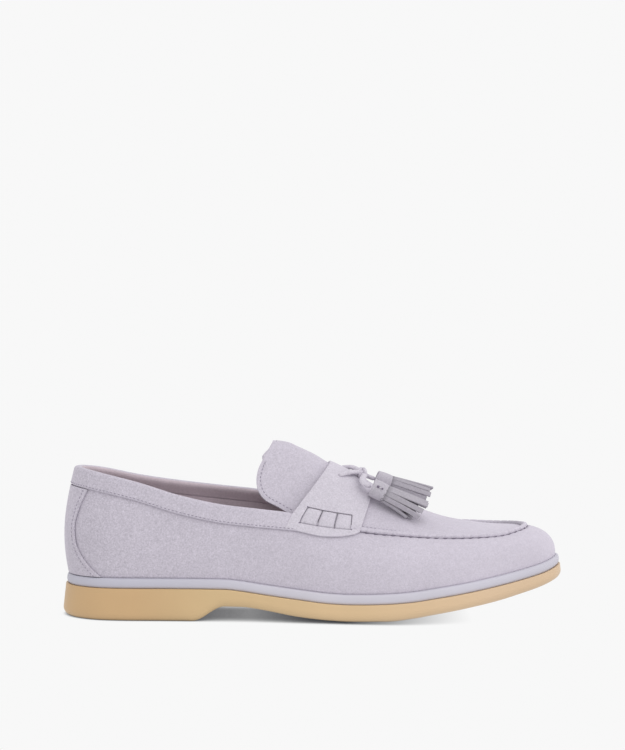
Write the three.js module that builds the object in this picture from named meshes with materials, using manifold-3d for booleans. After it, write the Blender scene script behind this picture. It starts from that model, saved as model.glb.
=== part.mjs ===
// Tassel loafer, right shoe, empty and standing on its sole.
// Millimetres, +Z up, toe towards +X, outer side of the foot towards -Y. The origin is on the floor,
// under the middle of the sole's length and width.
import * as THREE from "three";
import { mergeVertices } from "three/addons/utils/BufferGeometryUtils.js";
import Module from "manifold-3d";

const wasm = await Module();
wasm.setup();

// Driving dimensions
const LENGTH = 300; // sole, heel to toe
const BALL_WIDTH = 104; // sole, across the ball of the foot
const HEEL_HEIGHT = 19; // floor to the top of the outsole at the heel
const FORE_HEIGHT = 11.4; // floor to the top of the outsole at the ball
const WAIST_LIFT = 9.6; // floor to the underside just in front of the heel
const TOE_SPRING = 21.5; // floor to the underside at the toe's tip
const CAMBER = 2.1; // how far the underside rises to its side edges at the ball
const TOE_RISE = 18.6; // how much higher the outsole's top is at the toe than at the ball
const MIDSOLE = 6; // height of the midsole band
const BACK_HEIGHT = 89.5; // floor to the top of the collar strip at the back of the heel
const SEAM_HEIGHT = 49; // floor to the apron seam at the ball
const TONGUE_HEIGHT = 104.2; // floor to the top of the tongue
const WALL = 2.2; // suede and lining together
const OVERLAY = 1.3; // one folded layer of suede laid on the upper
const GAP = 0.3; // clearance between pieces that touch
const INSOLE = 3.4; // insole thickness
const FLARE = 0.105; // outward slope of the outsole's side
const EDGE_ROUND = 4.4; // rounding under the outsole's edge
const MIDSOLE_INSET = 0.7; // midsole's bulge inside the outsole's top edge
const UPPER_INSET = 3.1; // upper's foot inside the outsole's top edge
const COLLAR_WIDTH = 9.9; // strip of suede round the collar, outside
const COLLAR_INSIDE = 3.4; // and inside
const RIDGE_HEIGHT = 1.7; // raised edge of the apron
const RIDGE_WIDTH = 3.3;
const SADDLE_DROP = 9.3; // saddle below the apron seam
const WINDOW_HEIGHT = 10.6; // slot in the saddle's side, at its front
const WINDOW_CLEAR = 0.5; // round the pads in the slot
const PAD_HEIGHT = 1.5; // how proud the rolled pads are of the upper
const PAD_GROOVE = 1.0; // between two pads
const LACE = 3.0; // round suede lace
const HEAD_LENGTH = 9.4; // tassel head
const HEAD_RADIUS = 5.8;
const CORE_LENGTH = 6; // solid core of the fringe
const FRINGE_LENGTH = 26;
const STRIP_WIDTH = 2.9; // one strip of the fringe
const STRIP_THICK = 1.4;
const PADS = 3;
const STRIPS = 11;

// Sole outline from above. at is a share of the length, outer and inner are shares of half the width.
const PLAN = [
  { at: 0.0, outer: 0, inner: 0 },
  { at: 0.03, outer: 0.42, inner: 0.42 },
  { at: 0.07, outer: 0.58, inner: 0.58 },
  { at: 0.12, outer: 0.64, inner: 0.64 },
  { at: 0.2, outer: 0.66, inner: 0.64 },
  { at: 0.3, outer: 0.7, inner: 0.59 },
  { at: 0.4, outer: 0.775, inner: 0.57 },
  { at: 0.5, outer: 0.875, inner: 0.64 },
  { at: 0.6, outer: 0.965, inner: 0.81 },
  { at: 0.66, outer: 1.0, inner: 0.925 },
  { at: 0.73, outer: 0.965, inner: 1.0 },
  { at: 0.8, outer: 0.855, inner: 0.975 },
  { at: 0.87, outer: 0.69, inner: 0.86 },
  { at: 0.93, outer: 0.485, inner: 0.705 },
  { at: 0.975, outer: 0.27, inner: 0.5 },
  { at: 1.0, outer: -0.12, inner: 0.12 },
];

// Outsole from the side. seat lifts its top at the heel, toe lifts its top at the toe, waist and spring lift
// its underside, and camber lifts the underside's edges. Each is a share of the size that it follows.
const SIDE = [
  { at: 0.0, seat: 1, toe: 0, waist: 0, spring: 0, camber: 0 },
  { at: 0.262, seat: 1, toe: 0, waist: 0, spring: 0, camber: 0 },
  { at: 0.325, seat: 0.99, toe: 0, waist: 0.9, spring: 0, camber: 0 },
  { at: 0.36, seat: 0.87, toe: 0, waist: 0.89, spring: 0, camber: 0 },
  { at: 0.4, seat: 0.65, toe: 0, waist: 0.74, spring: 0, camber: 0 },
  { at: 0.475, seat: 0.29, toe: 0, waist: 0.26, spring: 0, camber: 0.4 },
  { at: 0.533, seat: 0.05, toe: 0, waist: 0.05, spring: 0, camber: 0.66 },
  { at: 0.57, seat: 0, toe: 0, waist: 0, spring: 0, camber: 0.72 },
  { at: 0.6, seat: 0, toe: 0.005, waist: 0, spring: 0, camber: 0.78 },
  { at: 0.64, seat: 0, toe: 0.03, waist: 0, spring: 0, camber: 1 },
  { at: 0.7, seat: 0, toe: 0.105, waist: 0, spring: 0.085, camber: 1 },
  { at: 0.735, seat: 0, toe: 0.185, waist: 0, spring: 0.165, camber: 0.92 },
  { at: 0.795, seat: 0, toe: 0.315, waist: 0, spring: 0.3, camber: 0.74 },
  { at: 0.875, seat: 0, toe: 0.53, waist: 0, spring: 0.52, camber: 0.5 },
  { at: 0.915, seat: 0, toe: 0.65, waist: 0, spring: 0.65, camber: 0.45 },
  { at: 0.955, seat: 0, toe: 0.785, waist: 0, spring: 0.79, camber: 0.35 },
  { at: 1.0, seat: 0, toe: 1, waist: 0, spring: 1, camber: 0 },
];

// Top edge of the wall: the collar, then the apron seam. at is a share of its own length, outer and inner
// are shares of half the width, and the two rises are shares of the height from the seam to the collar's
// back. flare and lean are the wall's slopes at its foot and top, in degrees off the vertical, and hold is
// how long the wall keeps each slope.
const TOPLINE = [
  { at: 0.0, outer: 0, inner: 0, outerRise: 1, innerRise: 1, flare: 12, lean: 14, hold: 0.38 },
  { at: 0.058, outer: 0.4, inner: 0.4, outerRise: 0.938, innerRise: 0.92, flare: 11, lean: 13, hold: 0.38 },
  { at: 0.146, outer: 0.5, inner: 0.49, outerRise: 0.794, innerRise: 0.785, flare: 8, lean: 11, hold: 0.38 },
  { at: 0.234, outer: 0.54, inner: 0.52, outerRise: 0.61, innerRise: 0.694, flare: 6, lean: 11, hold: 0.38 },
  { at: 0.322, outer: 0.562, inner: 0.535, outerRise: 0.48, innerRise: 0.622, flare: 6, lean: 12, hold: 0.38 },
  { at: 0.41, outer: 0.587, inner: 0.55, outerRise: 0.41, innerRise: 0.55, flare: 6, lean: 17, hold: 0.38 },
  { at: 0.478, outer: 0.615, inner: 0.58, outerRise: 0.355, innerRise: 0.46, flare: 7, lean: 25, hold: 0.38 },
  { at: 0.545, outer: 0.64, inner: 0.62, outerRise: 0.23, innerRise: 0.33, flare: 8, lean: 34, hold: 0.4 },
  { at: 0.635, outer: 0.665, inner: 0.675, outerRise: 0.109, innerRise: 0.17, flare: 8, lean: 45, hold: 0.42 },
  { at: 0.719, outer: 0.675, inner: 0.715, outerRise: 0.052, innerRise: 0.09, flare: 8, lean: 54, hold: 0.43 },
  { at: 0.807, outer: 0.62, inner: 0.7, outerRise: 0.01, innerRise: 0.05, flare: 8, lean: 62, hold: 0.45 },
  { at: 0.884, outer: 0.525, inner: 0.625, outerRise: 0, innerRise: 0.045, flare: 7, lean: 70, hold: 0.45 },
  { at: 0.94, outer: 0.4, inner: 0.51, outerRise: 0.012, innerRise: 0.05, flare: 6, lean: 78, hold: 0.43 },
  { at: 0.975, outer: 0.245, inner: 0.375, outerRise: 0.055, innerRise: 0.07, flare: 6, lean: 82, hold: 0.41 },
  { at: 1.0, outer: -0.067, inner: 0.067, outerRise: 0.09, innerRise: 0.09, flare: 6, lean: 84, hold: 0.41 },
];

// Places along the shoe. The wall's top edge begins and ends at shares of the length. The throat, where
// the apron ends and the tongue begins under the saddle, and the saddle's own edges are shares of that
// top edge.
const PLACES = { topBack: 0.028, topFront: 0.93, throat: 0.552, saddleBack: 0.478, saddleFront: 0.627 };

// Apron, section by section. at is the place of the section's feet on the wall's top edge, forward is how far
// its crest lies in front of them as a share of the length, dome is its height over them as a share of
// the height from seam to tongue, and arch is the power of its curve.
const APRON = [
  { at: 0.478, forward: 0.075, dome: 0.465, arch: 2.2 },
  { at: 0.545, forward: 0.052, dome: 0.46, arch: 2.15 },
  { at: 0.59, forward: 0.037, dome: 0.43, arch: 2.1 },
  { at: 0.635, forward: 0.0265, dome: 0.378, arch: 2.1 },
  { at: 0.719, forward: 0.018, dome: 0.26, arch: 2.0 },
  { at: 0.763, forward: 0.015, dome: 0.19, arch: 2.0 },
  { at: 0.807, forward: 0.012, dome: 0.137, arch: 2.0 },
  { at: 0.884, forward: 0.006, dome: 0.078, arch: 2.0 },
  { at: 0.94, forward: 0.003, dome: 0.045, arch: 2.0 },
  { at: 1.0, forward: 0, dome: 0, arch: 2.0 },
];

// Free part of the tongue, section by section. crest and foot are shares of the length, crestHigh is
// a share of the tongue's height and footHigh one of the collar's, half is the half width as a share of
// half the ball width, and reach is how much of the section is there, which rounds the corners.
const TONGUE = [
  { crest: 0.5, crestHigh: 0.926, foot: 0.423, footHigh: 0.74, half: 0.512, reach: 0.975 },
  { crest: 0.4733, crestHigh: 0.9625, foot: 0.3983, footHigh: 0.757, half: 0.5, reach: 0.95 },
  { crest: 0.4533, crestHigh: 0.988, foot: 0.3817, footHigh: 0.79, half: 0.491, reach: 0.92 },
  { crest: 0.4367, crestHigh: 0.998, foot: 0.3683, footHigh: 0.804, half: 0.484, reach: 0.85 },
  { crest: 0.425, crestHigh: 1, foot: 0.36, footHigh: 0.81, half: 0.478, reach: 0.74 },
  { crest: 0.4207, crestHigh: 1, foot: 0.3567, footHigh: 0.812, half: 0.475, reach: 0.53 },
];

// Hidden part of the tongue, from the throat to the saddle's back edge. along is the share of the way, and
// dip is how far its sides have sunk from the apron's arch to the top of the wall.
const TONGUE_ROOT = [
  { along: 0.03, dip: 0 },
  { along: 0.5, dip: 0.5 },
  { along: 1, dip: 1 },
];

// Edge of the heel counter: its distance round from the middle of the back, in radians of the outline,
// at shares of the way down from the collar strip to the midsole.
const COUNTER = [
  { down: 0, round: 0.385 },
  { down: 0.25, round: 0.315 },
  { down: 0.45, round: 0.285 },
  { down: 0.62, round: 0.31 },
  { down: 0.82, round: 0.41 },
  { down: 1, round: 0.55 },
];

// Lower edge of the saddle, from its back to its front, as shares of the drop.
const SADDLE_HEM = [
  { along: 0, drop: 0.96 },
  { along: 0.2, drop: 1 },
  { along: 0.4, drop: 0.97 },
  { along: 0.65, drop: 0.8 },
  { along: 0.85, drop: 0.52 },
  { along: 0.95, drop: 0.3 },
  { along: 1, drop: 0.1 },
];
const SADDLE_SLANT = { back: 0.42, front: 0 }; // how far its lines run back on each millimetre below the seam

// Slot in the saddle's side. at is the share of the way along the saddle, tilt is how much further forward
// its lower end lies and how much further back its upper end, and above and below are the slot's reach from
// the apron seam as shares of its height.
const WINDOW = [
  { at: 0.14, tilt: 0.009, above: 0.72, below: 0.4 },
  { at: 0.844, tilt: 0.031, above: 0.89, below: 0.11 },
];

// Lace from its hole to the knot: the share of the way along the saddle, and the step away from the knot and
// the height over the saddle as shares of the lace's thickness.
const STRAND = [
  { along: 0.31, aside: 3.2, over: 0 },
  { along: 0.49, aside: 1.85, over: 0.27 },
];
const KNOT = { along: 0.7, aside: -1, x: 0.95, y: 1.45, z: 0.9 };

// Where each tassel's head begins: a share of the way along the saddle, a step to the side of the crest as
// a share of half the ball width, and one above the saddle as a share of the head's radius. Its fringe
// droops and turns by the two angles, and its strips open by splay on the side away from the shoe.
const TASSELS = [
  { name: "outer", side: -1, at: 0.93, across: 0.32, over: 0.09, yaw: -3, droop: 26, splay: 6 },
  { name: "inner", side: 1, at: 1.03, across: 0.29, over: 0.09, yaw: 4, droop: 20, splay: 6 },
];

// Colours
const SUEDE = new THREE.MeshStandardMaterial({ color: 0xc4bdc9, roughness: 0.95, metalness: 0 });
const TRIM = new THREE.MeshStandardMaterial({ color: 0xcac4ce, roughness: 0.95, metalness: 0 });
const LINING = new THREE.MeshStandardMaterial({ color: 0x9a8f98, roughness: 0.9, metalness: 0 });
const GREY_RUBBER = new THREE.MeshStandardMaterial({ color: 0xc6c0ce, roughness: 0.6, metalness: 0 });
const GUM_RUBBER = new THREE.MeshStandardMaterial({ color: 0xd2b186, roughness: 0.55, metalness: 0 });

const vec = (x, y, z) => new THREE.Vector3(x, y, z);
const mix = (a, b, t) => a + (b - a) * t;
const radians = THREE.MathUtils.degToRad;
const steps = (n) => Array.from({ length: n + 1 }, (_, i) => i / n);

// A smooth curve through [place, value] pairs. Level stretches stay level if it is monotone.
function curveThrough(pairs, monotone) {
  const slope = (i) => (pairs[i + 1][1] - pairs[i][1]) / (pairs[i + 1][0] - pairs[i][0]);
  const last = pairs.length - 1;
  const tangent = pairs.map((_, i) => {
    if (i === 0) return slope(0);
    if (i === last) return slope(last - 1);
    const before = slope(i - 1);
    const after = slope(i);
    const near = pairs[i][0] - pairs[i - 1][0];
    const far = pairs[i + 1][0] - pairs[i][0];
    if (!monotone) return (before * far + after * near) / (near + far);
    return before * after <= 0 ? 0 : (2 * before * after) / (before + after);
  });
  return (place) => {
    let i = 0;
    while (i < last - 1 && place > pairs[i + 1][0]) i++;
    const width = pairs[i + 1][0] - pairs[i][0];
    const t = THREE.MathUtils.clamp((place - pairs[i][0]) / width, 0, 1);
    const s = t * t * (3 - 2 * t);
    const bend = t * (1 - t) * width * (tangent[i] * (1 - t) - tangent[i + 1] * t);
    return mix(pairs[i][1], pairs[i + 1][1], s) + bend;
  };
}

const along = (rows, key, place = "at") => curveThrough(rows.map((row) => [row[place], row[key]]), true);

// The outline's angle goes from the back of the heel, round the inner side to the toe, and back round the
// outer side.
const angleAt = (share) => Math.acos(1 - 2 * share);
const shareAt = (angle) => (1 - Math.cos(angle)) / 2;

// A column pair as one smooth function of the outline's angle.
function aroundOutline(rows, innerKey, outerKey, outerSign) {
  const inner = rows.map((row) => [angleAt(row.at), row[innerKey]]);
  const outer = rows.map((row) => [2 * Math.PI - angleAt(row.at), outerSign * row[outerKey]]).reverse();
  const loop = [...inner, ...outer.slice(1, -1)];
  const turn = 2 * Math.PI;
  const before = loop.slice(-3).map(([a, v]) => [a - turn, v]);
  const after = loop.slice(0, 4).map(([a, v]) => [a + turn, v]);
  const curve = curveThrough([...before, ...loop, ...after], false);
  return (angle) => curve(((angle % turn) + turn) % turn);
}

// Sole outline, and its shape from the side
const SOLE_BACK = -LENGTH / 2 + FLARE * (HEEL_HEIGHT - EDGE_ROUND);
const SOLE_FRONT = LENGTH / 2 - FLARE * (FORE_HEIGHT + TOE_RISE - TOE_SPRING - EDGE_ROUND);
const SOLE_HALF = BALL_WIDTH / 2 - FLARE * (FORE_HEIGHT - EDGE_ROUND);
const planShare = aroundOutline(PLAN, "inner", "outer", -1);
const planPoint = (angle) => vec(mix(SOLE_BACK, SOLE_FRONT, shareAt(angle)), SOLE_HALF * planShare(angle), 0);

function soleEdge(angle, outset) {
  const step = 0.01;
  const run = planPoint(angle + step).sub(planPoint(angle - step)).normalize();
  return planPoint(angle).add(vec(-run.y, run.x, 0).multiplyScalar(outset));
}

const seat = along(SIDE, "seat");
const toe = along(SIDE, "toe");
const waist = along(SIDE, "waist");
const spring = along(SIDE, "spring");
const camber = along(SIDE, "camber");
const lengthShare = (x) => THREE.MathUtils.clamp(x / LENGTH + 0.5, 0, 1);
const outsoleTop = (x) =>
  FORE_HEIGHT + (HEEL_HEIGHT - FORE_HEIGHT) * seat(lengthShare(x)) + TOE_RISE * toe(lengthShare(x));
const outsoleUnder = (x) => WAIST_LIFT * waist(lengthShare(x)) + TOE_SPRING * spring(lengthShare(x));
const outsoleEdge = (x) => outsoleUnder(x) + CAMBER * camber(lengthShare(x));
const midsoleTop = (x) => outsoleTop(x) + MIDSOLE;

// The wall: from its foot on the midsole to the collar or the apron seam
const TOP_BACK = LENGTH * (PLACES.topBack - 0.5);
const TOP_FRONT = LENGTH * (PLACES.topFront - 0.5);
const COLLAR_TOP = BACK_HEIGHT - GAP - OVERLAY;
const topShare = aroundOutline(TOPLINE, "inner", "outer", -1);
const topRise = aroundOutline(TOPLINE, "innerRise", "outerRise", 1);
const flareAt = along(TOPLINE, "flare");
const leanAt = along(TOPLINE, "lean");
const holdAt = along(TOPLINE, "hold");

function topPoint(angle) {
  const rise = mix(SEAM_HEIGHT, COLLAR_TOP, topRise(angle));
  return vec(mix(TOP_BACK, TOP_FRONT, shareAt(angle)), (BALL_WIDTH / 2) * topShare(angle), rise);
}

// Points of the wall on one line, from the seam (0) down to the foot (1).
function wallLine(angle) {
  const share = shareAt(angle);
  const foot = soleEdge(angle, -UPPER_INSET);
  foot.z = midsoleTop(foot.x) + GAP;
  const top = topPoint(angle);
  const step = 0.02;
  const run = soleEdge(angle + step, 0).sub(soleEdge(angle - step, 0)).normalize();
  const out = vec(-run.y, run.x, 0);
  const reach = foot.distanceTo(top) * holdAt(share);
  const slope = (degrees) => out.clone().multiplyScalar(Math.sin(radians(degrees)));
  const lower = slope(flareAt(share)).add(vec(0, 0, Math.cos(radians(flareAt(share)))));
  const upper = slope(leanAt(share)).sub(vec(0, 0, Math.cos(radians(leanAt(share)))));
  const curve = new THREE.CubicBezierCurve3(
    top,
    top.clone().addScaledVector(upper, reach),
    foot.clone().addScaledVector(lower, reach),
    foot,
  );
  return (share01) => curve.getPoint(share01);
}

// The apron's arch over the foot, from its crest (0) to the seam (1)
const forwardAt = along(APRON, "forward");
const domeAt = along(APRON, "dome");
const archAt = along(APRON, "arch");

function archLine(angle) {
  const share = shareAt(angle);
  const edge = topPoint(angle);
  const crest = edge.clone().add(topPoint(-angle)).multiplyScalar(0.5);
  crest.x += LENGTH * forwardAt(share);
  crest.z += (TONGUE_HEIGHT - SEAM_HEIGHT) * domeAt(share);
  return (s) => {
    const fall = Math.pow(s, archAt(share));
    return vec(mix(crest.x, edge.x, fall), mix(crest.y, edge.y, s), mix(crest.z, edge.z, fall));
  };
}

// One line of the outside, from the crest over the seam to the foot, measured from the seam:
// above it is negative, below it positive.
const SAMPLES = 28;
const girths = new Map();

function girthLine(angle) {
  if (!girths.has(angle)) {
    const wall = wallLine(angle);
    const arch = archLine(angle);
    const below = steps(SAMPLES).map(wall);
    const above = shareAt(angle) < PLACES.saddleBack - 0.03 ? [] : steps(SAMPLES).map(arch).slice(0, -1);
    const points = [...above, ...below];
    const places = [0];
    points.slice(1).forEach((p, i) => places.push(places[i] + p.distanceTo(points[i])));
    const seam = places[above.length];
    girths.set(angle, { points, places: places.map((p) => p - seam) });
  }
  return girths.get(angle);
}

function skin(angle, girth) {
  const { points, places } = girthLine(angle);
  let i = 0;
  while (i < places.length - 2 && girth > places[i + 1]) i++;
  const t = (girth - places[i]) / (places[i + 1] - places[i]);
  return points[i].clone().lerp(points[i + 1], t);
}

const crestGirth = (angle) => girthLine(angle).places[0];
const footGirth = (angle) => girthLine(angle).places.at(-1);

// Grids of points, and the solids made from them. A grid's rows and columns turn to the outside by the
// right hand.
const grid = (rows, columns, point) => rows.map((r) => columns.map((c) => point(r, c)));

function normalsOf(points, closed) {
  const n = points.length;
  const row = (i) => (closed ? points[(i + n) % n] : points[THREE.MathUtils.clamp(i, 0, n - 1)]);
  return points.map((line, i) =>
    line.map((_, j) => {
      const run = row(i + 1)[j].clone().sub(row(i - 1)[j]);
      const fall = line[Math.min(j + 1, line.length - 1)].clone().sub(line[Math.max(j - 1, 0)]);
      return run.cross(fall).normalize();
    }),
  );
}

const offsetGrid = (points, normals, distance) =>
  points.map((line, i) => line.map((p, j) => p.clone().addScaledVector(normals[i][j], distance(i, j))));

// Collects triangles and quads, and turns them into one closed geometry.
class Faces {
  constructor() {
    this.points = [];
  }
  quad(a, b, c, d) {
    this.points.push(a, b, c, a, c, d);
  }
  // The quads of a grid, facing out, or in if reversed.
  grid(points, closed = false, reversed = false) {
    const last = closed ? points.length : points.length - 1;
    for (let i = 0; i < last; i++) {
      const here = points[i];
      const next = points[(i + 1) % points.length];
      for (let j = 0; j + 1 < here.length; j++) {
        if (reversed) this.quad(here[j], here[j + 1], next[j + 1], next[j]);
        else this.quad(here[j], next[j], next[j + 1], here[j + 1]);
      }
    }
  }
  // A strip between two lines of points.
  strip(a, b) {
    for (let i = 0; i + 1 < a.length; i++) this.quad(a[i], a[i + 1], b[i + 1], b[i]);
  }
  geometry() {
    const kept = [];
    const tiny = 1e-4;
    for (let i = 0; i < this.points.length; i += 3) {
      const [a, b, c] = this.points.slice(i, i + 3);
      const same = a.distanceTo(b) < tiny || b.distanceTo(c) < tiny || c.distanceTo(a) < tiny;
      if (!same) kept.push(a, b, c);
    }
    return mergeVertices(new THREE.BufferGeometry().setFromPoints(kept), 1e-4);
  }
}

// A closed sheet between an outer and an inner grid.
function shell(outer, inner) {
  const faces = new Faces();
  faces.grid(outer);
  faces.grid(inner, false, true);
  const first = (g) => g.map((line) => line[0]);
  const last = (g) => g.map((line) => line.at(-1));
  faces.strip(first(inner), first(outer));
  faces.strip(last(outer), last(inner));
  faces.strip(outer[0], inner[0]);
  faces.strip(inner.at(-1), outer.at(-1));
  return faces.geometry();
}

function sheet(points, low, high) {
  const normals = normalsOf(points, false);
  const reach = (value) => (typeof value === "function" ? value : () => value);
  return shell(offsetGrid(points, normals, reach(high)), offsetGrid(points, normals, reach(low)));
}

// A closed body from rings that go round the outline, top ring first, its ends closed straight across.
function stack(rings) {
  const faces = new Faces();
  const count = rings[0].length;
  const lines = rings[0].map((_, i) => rings.map((ring) => ring[i]));
  faces.grid(lines, true);
  const across = (ring, up) => {
    for (let i = 0; i < count / 2; i++) {
      const here = ring[i];
      const there = ring[(count - i) % count];
      const next = ring[i + 1];
      const nextThere = ring[(count - i - 1) % count];
      if (up) faces.quad(here, there, nextThere, next);
      else faces.quad(here, next, nextThere, there);
    }
  };
  across(rings[0], true);
  across(rings.at(-1), false);
  return faces.geometry();
}

// Stations round the outline: the same on both sides, so that each has a partner straight across.
function stations(stops, perPart) {
  const half = [];
  stops.slice(1).forEach((stop, k) => {
    for (let i = 0; i < perPart[k]; i++) half.push(mix(stops[k], stop, i / perPart[k]));
  });
  const back = half.slice(1).reverse().map((angle) => 2 * Math.PI - angle);
  return [...half, Math.PI, ...back];
}

// Solids with manifold-3d, for joins and cuts
function solid(geometry) {
  const plain = geometry.clone();
  plain.deleteAttribute("normal");
  plain.deleteAttribute("uv");
  const merged = mergeVertices(plain, 1e-4);
  const triVerts = new Uint32Array(merged.index.array);
  const vertProperties = merged.attributes.position.array;
  return new wasm.Manifold(new wasm.Mesh({ numProp: 3, vertProperties, triVerts }));
}

function fromSolid(manifold) {
  const mesh = manifold.getMesh();
  const geometry = new THREE.BufferGeometry();
  geometry.setAttribute("position", new THREE.BufferAttribute(mesh.vertProperties, 3));
  geometry.setIndex(new THREE.BufferAttribute(mesh.triVerts, 1));
  return geometry;
}

// Outsole: flared side, rounded lower edge, and an underside that is flat on the floor at the heel and
// forefoot and rises a little to its side edges. across is how far a ring lies in from the edge, as a share
// of the width.
function outsole() {
  const breast = SIDE.slice(1, 3).map((row) => angleAt(row.at));
  const angles = stations([0, breast[0], breast[1], Math.PI], [9, 2, 22]);
  const low = (p) => outsoleUnder(p.x);
  const edge = (p) => outsoleEdge(p.x);
  const high = (p) => outsoleTop(p.x);
  const flare = (p) => FLARE * (high(p) - edge(p) - EDGE_ROUND);
  const under = (p) => flare(p) - EDGE_ROUND;
  const levels = [
    { outset: () => -0.6, height: high, across: 0 },
    { outset: () => 0, height: (p) => high(p) - 0.7, across: 0 },
    { outset: flare, height: (p) => edge(p) + EDGE_ROUND, across: 0 },
    { outset: (p) => flare(p) - 0.3 * EDGE_ROUND, height: (p) => edge(p) + 0.28 * EDGE_ROUND, across: 0 },
    { outset: under, height: edge, across: 0 },
    { outset: under, height: (p) => mix(low(p), edge(p), 0.33), across: 0.07 },
    { outset: under, height: low, across: 0.16 },
  ];
  const ring = ({ outset, height, across }) =>
    angles.map((angle) => {
      const bare = planPoint(angle);
      const p = soleEdge(angle, outset(bare));
      const partner = soleEdge(-angle, outset(bare));
      return vec(p.x, mix(p.y, partner.y, across), height(height === high ? p : bare));
    });
  return stack(levels.map(ring));
}

// Midsole: a band with a soft bulge
function midsole() {
  const levels = [
    { outset: -2.0, up: 1 },
    { outset: -0.75, up: 0.93 },
    { outset: -0.15, up: 0.7 },
    { outset: 0, up: 0.4 },
    { outset: -0.45, up: 0.1 },
    { outset: -0.9, up: 0 },
  ];
  const angles = stations([0, Math.PI], [28]);
  const ring = ({ outset, up }) =>
    angles.map((angle) => {
      const p = soleEdge(angle, outset - MIDSOLE_INSET);
      return vec(p.x, p.y, outsoleTop(p.x) + mix(GAP, MIDSOLE, up));
    });
  return stack(levels.map(ring));
}

// Insole, inside the wall
function insole() {
  const inset = UPPER_INSET + WALL + 2 * GAP;
  const levels = [
    { outset: -1.2, up: INSOLE },
    { outset: 0, up: 0.7 * INSOLE },
    { outset: 0, up: 0 },
  ];
  const angles = stations([0, Math.PI], [26]);
  const ring = ({ outset, up }) =>
    angles.map((angle) => {
      const p = soleEdge(angle, outset - inset);
      return vec(p.x, p.y, midsoleTop(p.x) + GAP + up);
    });
  return stack(levels.map(ring));
}

// Upper: one hollow solid of wall and apron, open at the collar, the throat and underneath
function upper() {
  const throat = angleAt(PLACES.throat);
  const columns = { back: 18, front: 18 };
  const angles = stations([0, throat, Math.PI], [columns.back, columns.front]);
  const middle = angles.length / 2;
  const rows = steps(9);
  const outer = angles.map((angle) => rows.map(wallLine(angle)));
  const inner = offsetGrid(outer, normalsOf(outer, true), () => -WALL);
  outer.forEach((line, i) => inner[i].splice(-1, 1, inner[i].at(-1).setZ(line.at(-1).z)));

  // The apron's edge stands up in a ridge that fades out under the saddle.
  const ridgeRows = [
    { from: 0, up: 0 },
    { from: 0.06, up: 0.75 },
    { from: 0.4, up: 1 },
    { from: 0.8, up: 0.75 },
    { from: 1.05, up: 0 },
  ];
  const flatRows = [0.3, 0.55, 0.8, 1];
  const halfRow = (angle, index) => {
    const length = -crestGirth(angle);
    const past = shareAt(angle) - PLACES.saddleFront;
    const fade = THREE.MathUtils.smoothstep(past, 0.002, 0.03);
    const width = Math.min(RIDGE_WIDTH, 0.6 * length);
    const edge = ridgeRows.map(({ from, up }) => ({ girth: -from * width, up: up * RIDGE_HEIGHT * fade }));
    const flat = flatRows.map((t) => ({ girth: mix(-1.05 * width, -length, t), up: 0 }));
    return [...edge, ...flat].map(({ girth, up }) => skin(angle, girth).add(vec(0, 0, up)));
  };
  const plainRow = (angle) => {
    const length = -crestGirth(angle);
    const width = Math.min(RIDGE_WIDTH, 0.6 * length);
    const edge = ridgeRows.map(({ from }) => -from * width);
    const flat = flatRows.map((t) => mix(-1.05 * width, -length, t));
    return [...edge, ...flat].map((girth) => skin(angle, girth));
  };
  // From the outer side over the crest to the inner side, throat first, down to one point at the toe.
  const across = (row) =>
    steps(columns.front).map((_, k) => {
      const i = middle - columns.front + k;
      if (k === columns.front) return Array(2 * (ridgeRows.length + flatRows.length) - 1).fill(outer[i][0]);
      const inward = row(angles[i]);
      const outward = row(angles[angles.length - i]);
      return [...outward, ...inward.slice(0, -1).reverse()];
    });
  const apron = across(halfRow);
  const plain = across(plainRow);
  const under = offsetGrid(plain, normalsOf(plain, false), () => -WALL);
  apron.forEach((line, k) => {
    const inside = middle - columns.front + k;
    const outside = angles.length - inside;
    line[0] = outer[outside % angles.length][0];
    line[line.length - 1] = outer[inside][0];
    under[k][0] = inner[outside % angles.length][0];
    under[k][line.length - 1] = inner[inside][0];
  });
  const tip = apron.at(-1).map(() => outer[middle][0]);
  apron[columns.front] = tip;
  under[columns.front] = tip.map(() => inner[middle][0]);

  const faces = new Faces();
  faces.grid(outer, true);
  faces.grid(inner, true, true);
  const loop = [...angles.keys(), 0];
  faces.strip(loop.map((i) => outer[i].at(-1)), loop.map((i) => inner[i].at(-1)));
  const collar = [...angles.keys()].slice(middle + columns.front);
  const rim = [...collar, ...[...angles.keys()].slice(0, middle - columns.front + 1)];
  faces.strip(rim.map((i) => inner[i][0]), rim.map((i) => outer[i][0]));
  faces.grid(apron);
  faces.grid(under, false, true);
  faces.strip(apron[0], under[0]);
  return faces.geometry();
}

// Tongue: hidden front under the saddle, then the free flap with its rounded corners
function tongue() {
  const hidden = TONGUE_ROOT.map((row) => {
    const share = mix(PLACES.throat, PLACES.saddleBack, row.along);
    const inner = archLine(angleAt(share));
    const outer = archLine(-angleAt(share));
    const room = WALL + 2 * GAP + (row.along === 1 ? OVERLAY + GAP : 0);
    const reach = 1 - room / topPoint(angleAt(share)).y;
    return (s) => {
      const line = s < 0 ? outer : inner;
      const p = line(Math.abs(s) * reach);
      const sunk = line(Math.abs(s));
      return vec(mix(p.x, sunk.x, row.dip), p.y, mix(p.z, sunk.z, row.dip));
    };
  });
  const free = TONGUE.map((row) => (s) => {
    const fall = Math.pow(Math.abs(s) * row.reach, APRON[0].arch);
    return vec(
      LENGTH * (mix(row.crest, row.foot, fall) - 0.5),
      (BALL_WIDTH / 2) * row.half * row.reach * s,
      mix(TONGUE_HEIGHT * row.crestHigh, BACK_HEIGHT * row.footHigh, fall),
    );
  });
  const lines = [...hidden, ...free].reverse();
  const across = steps(16).map((t) => 2 * t - 1);
  return sheet(grid(lines, across, (line, s) => line(s)), -WALL, 0);
}

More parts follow.
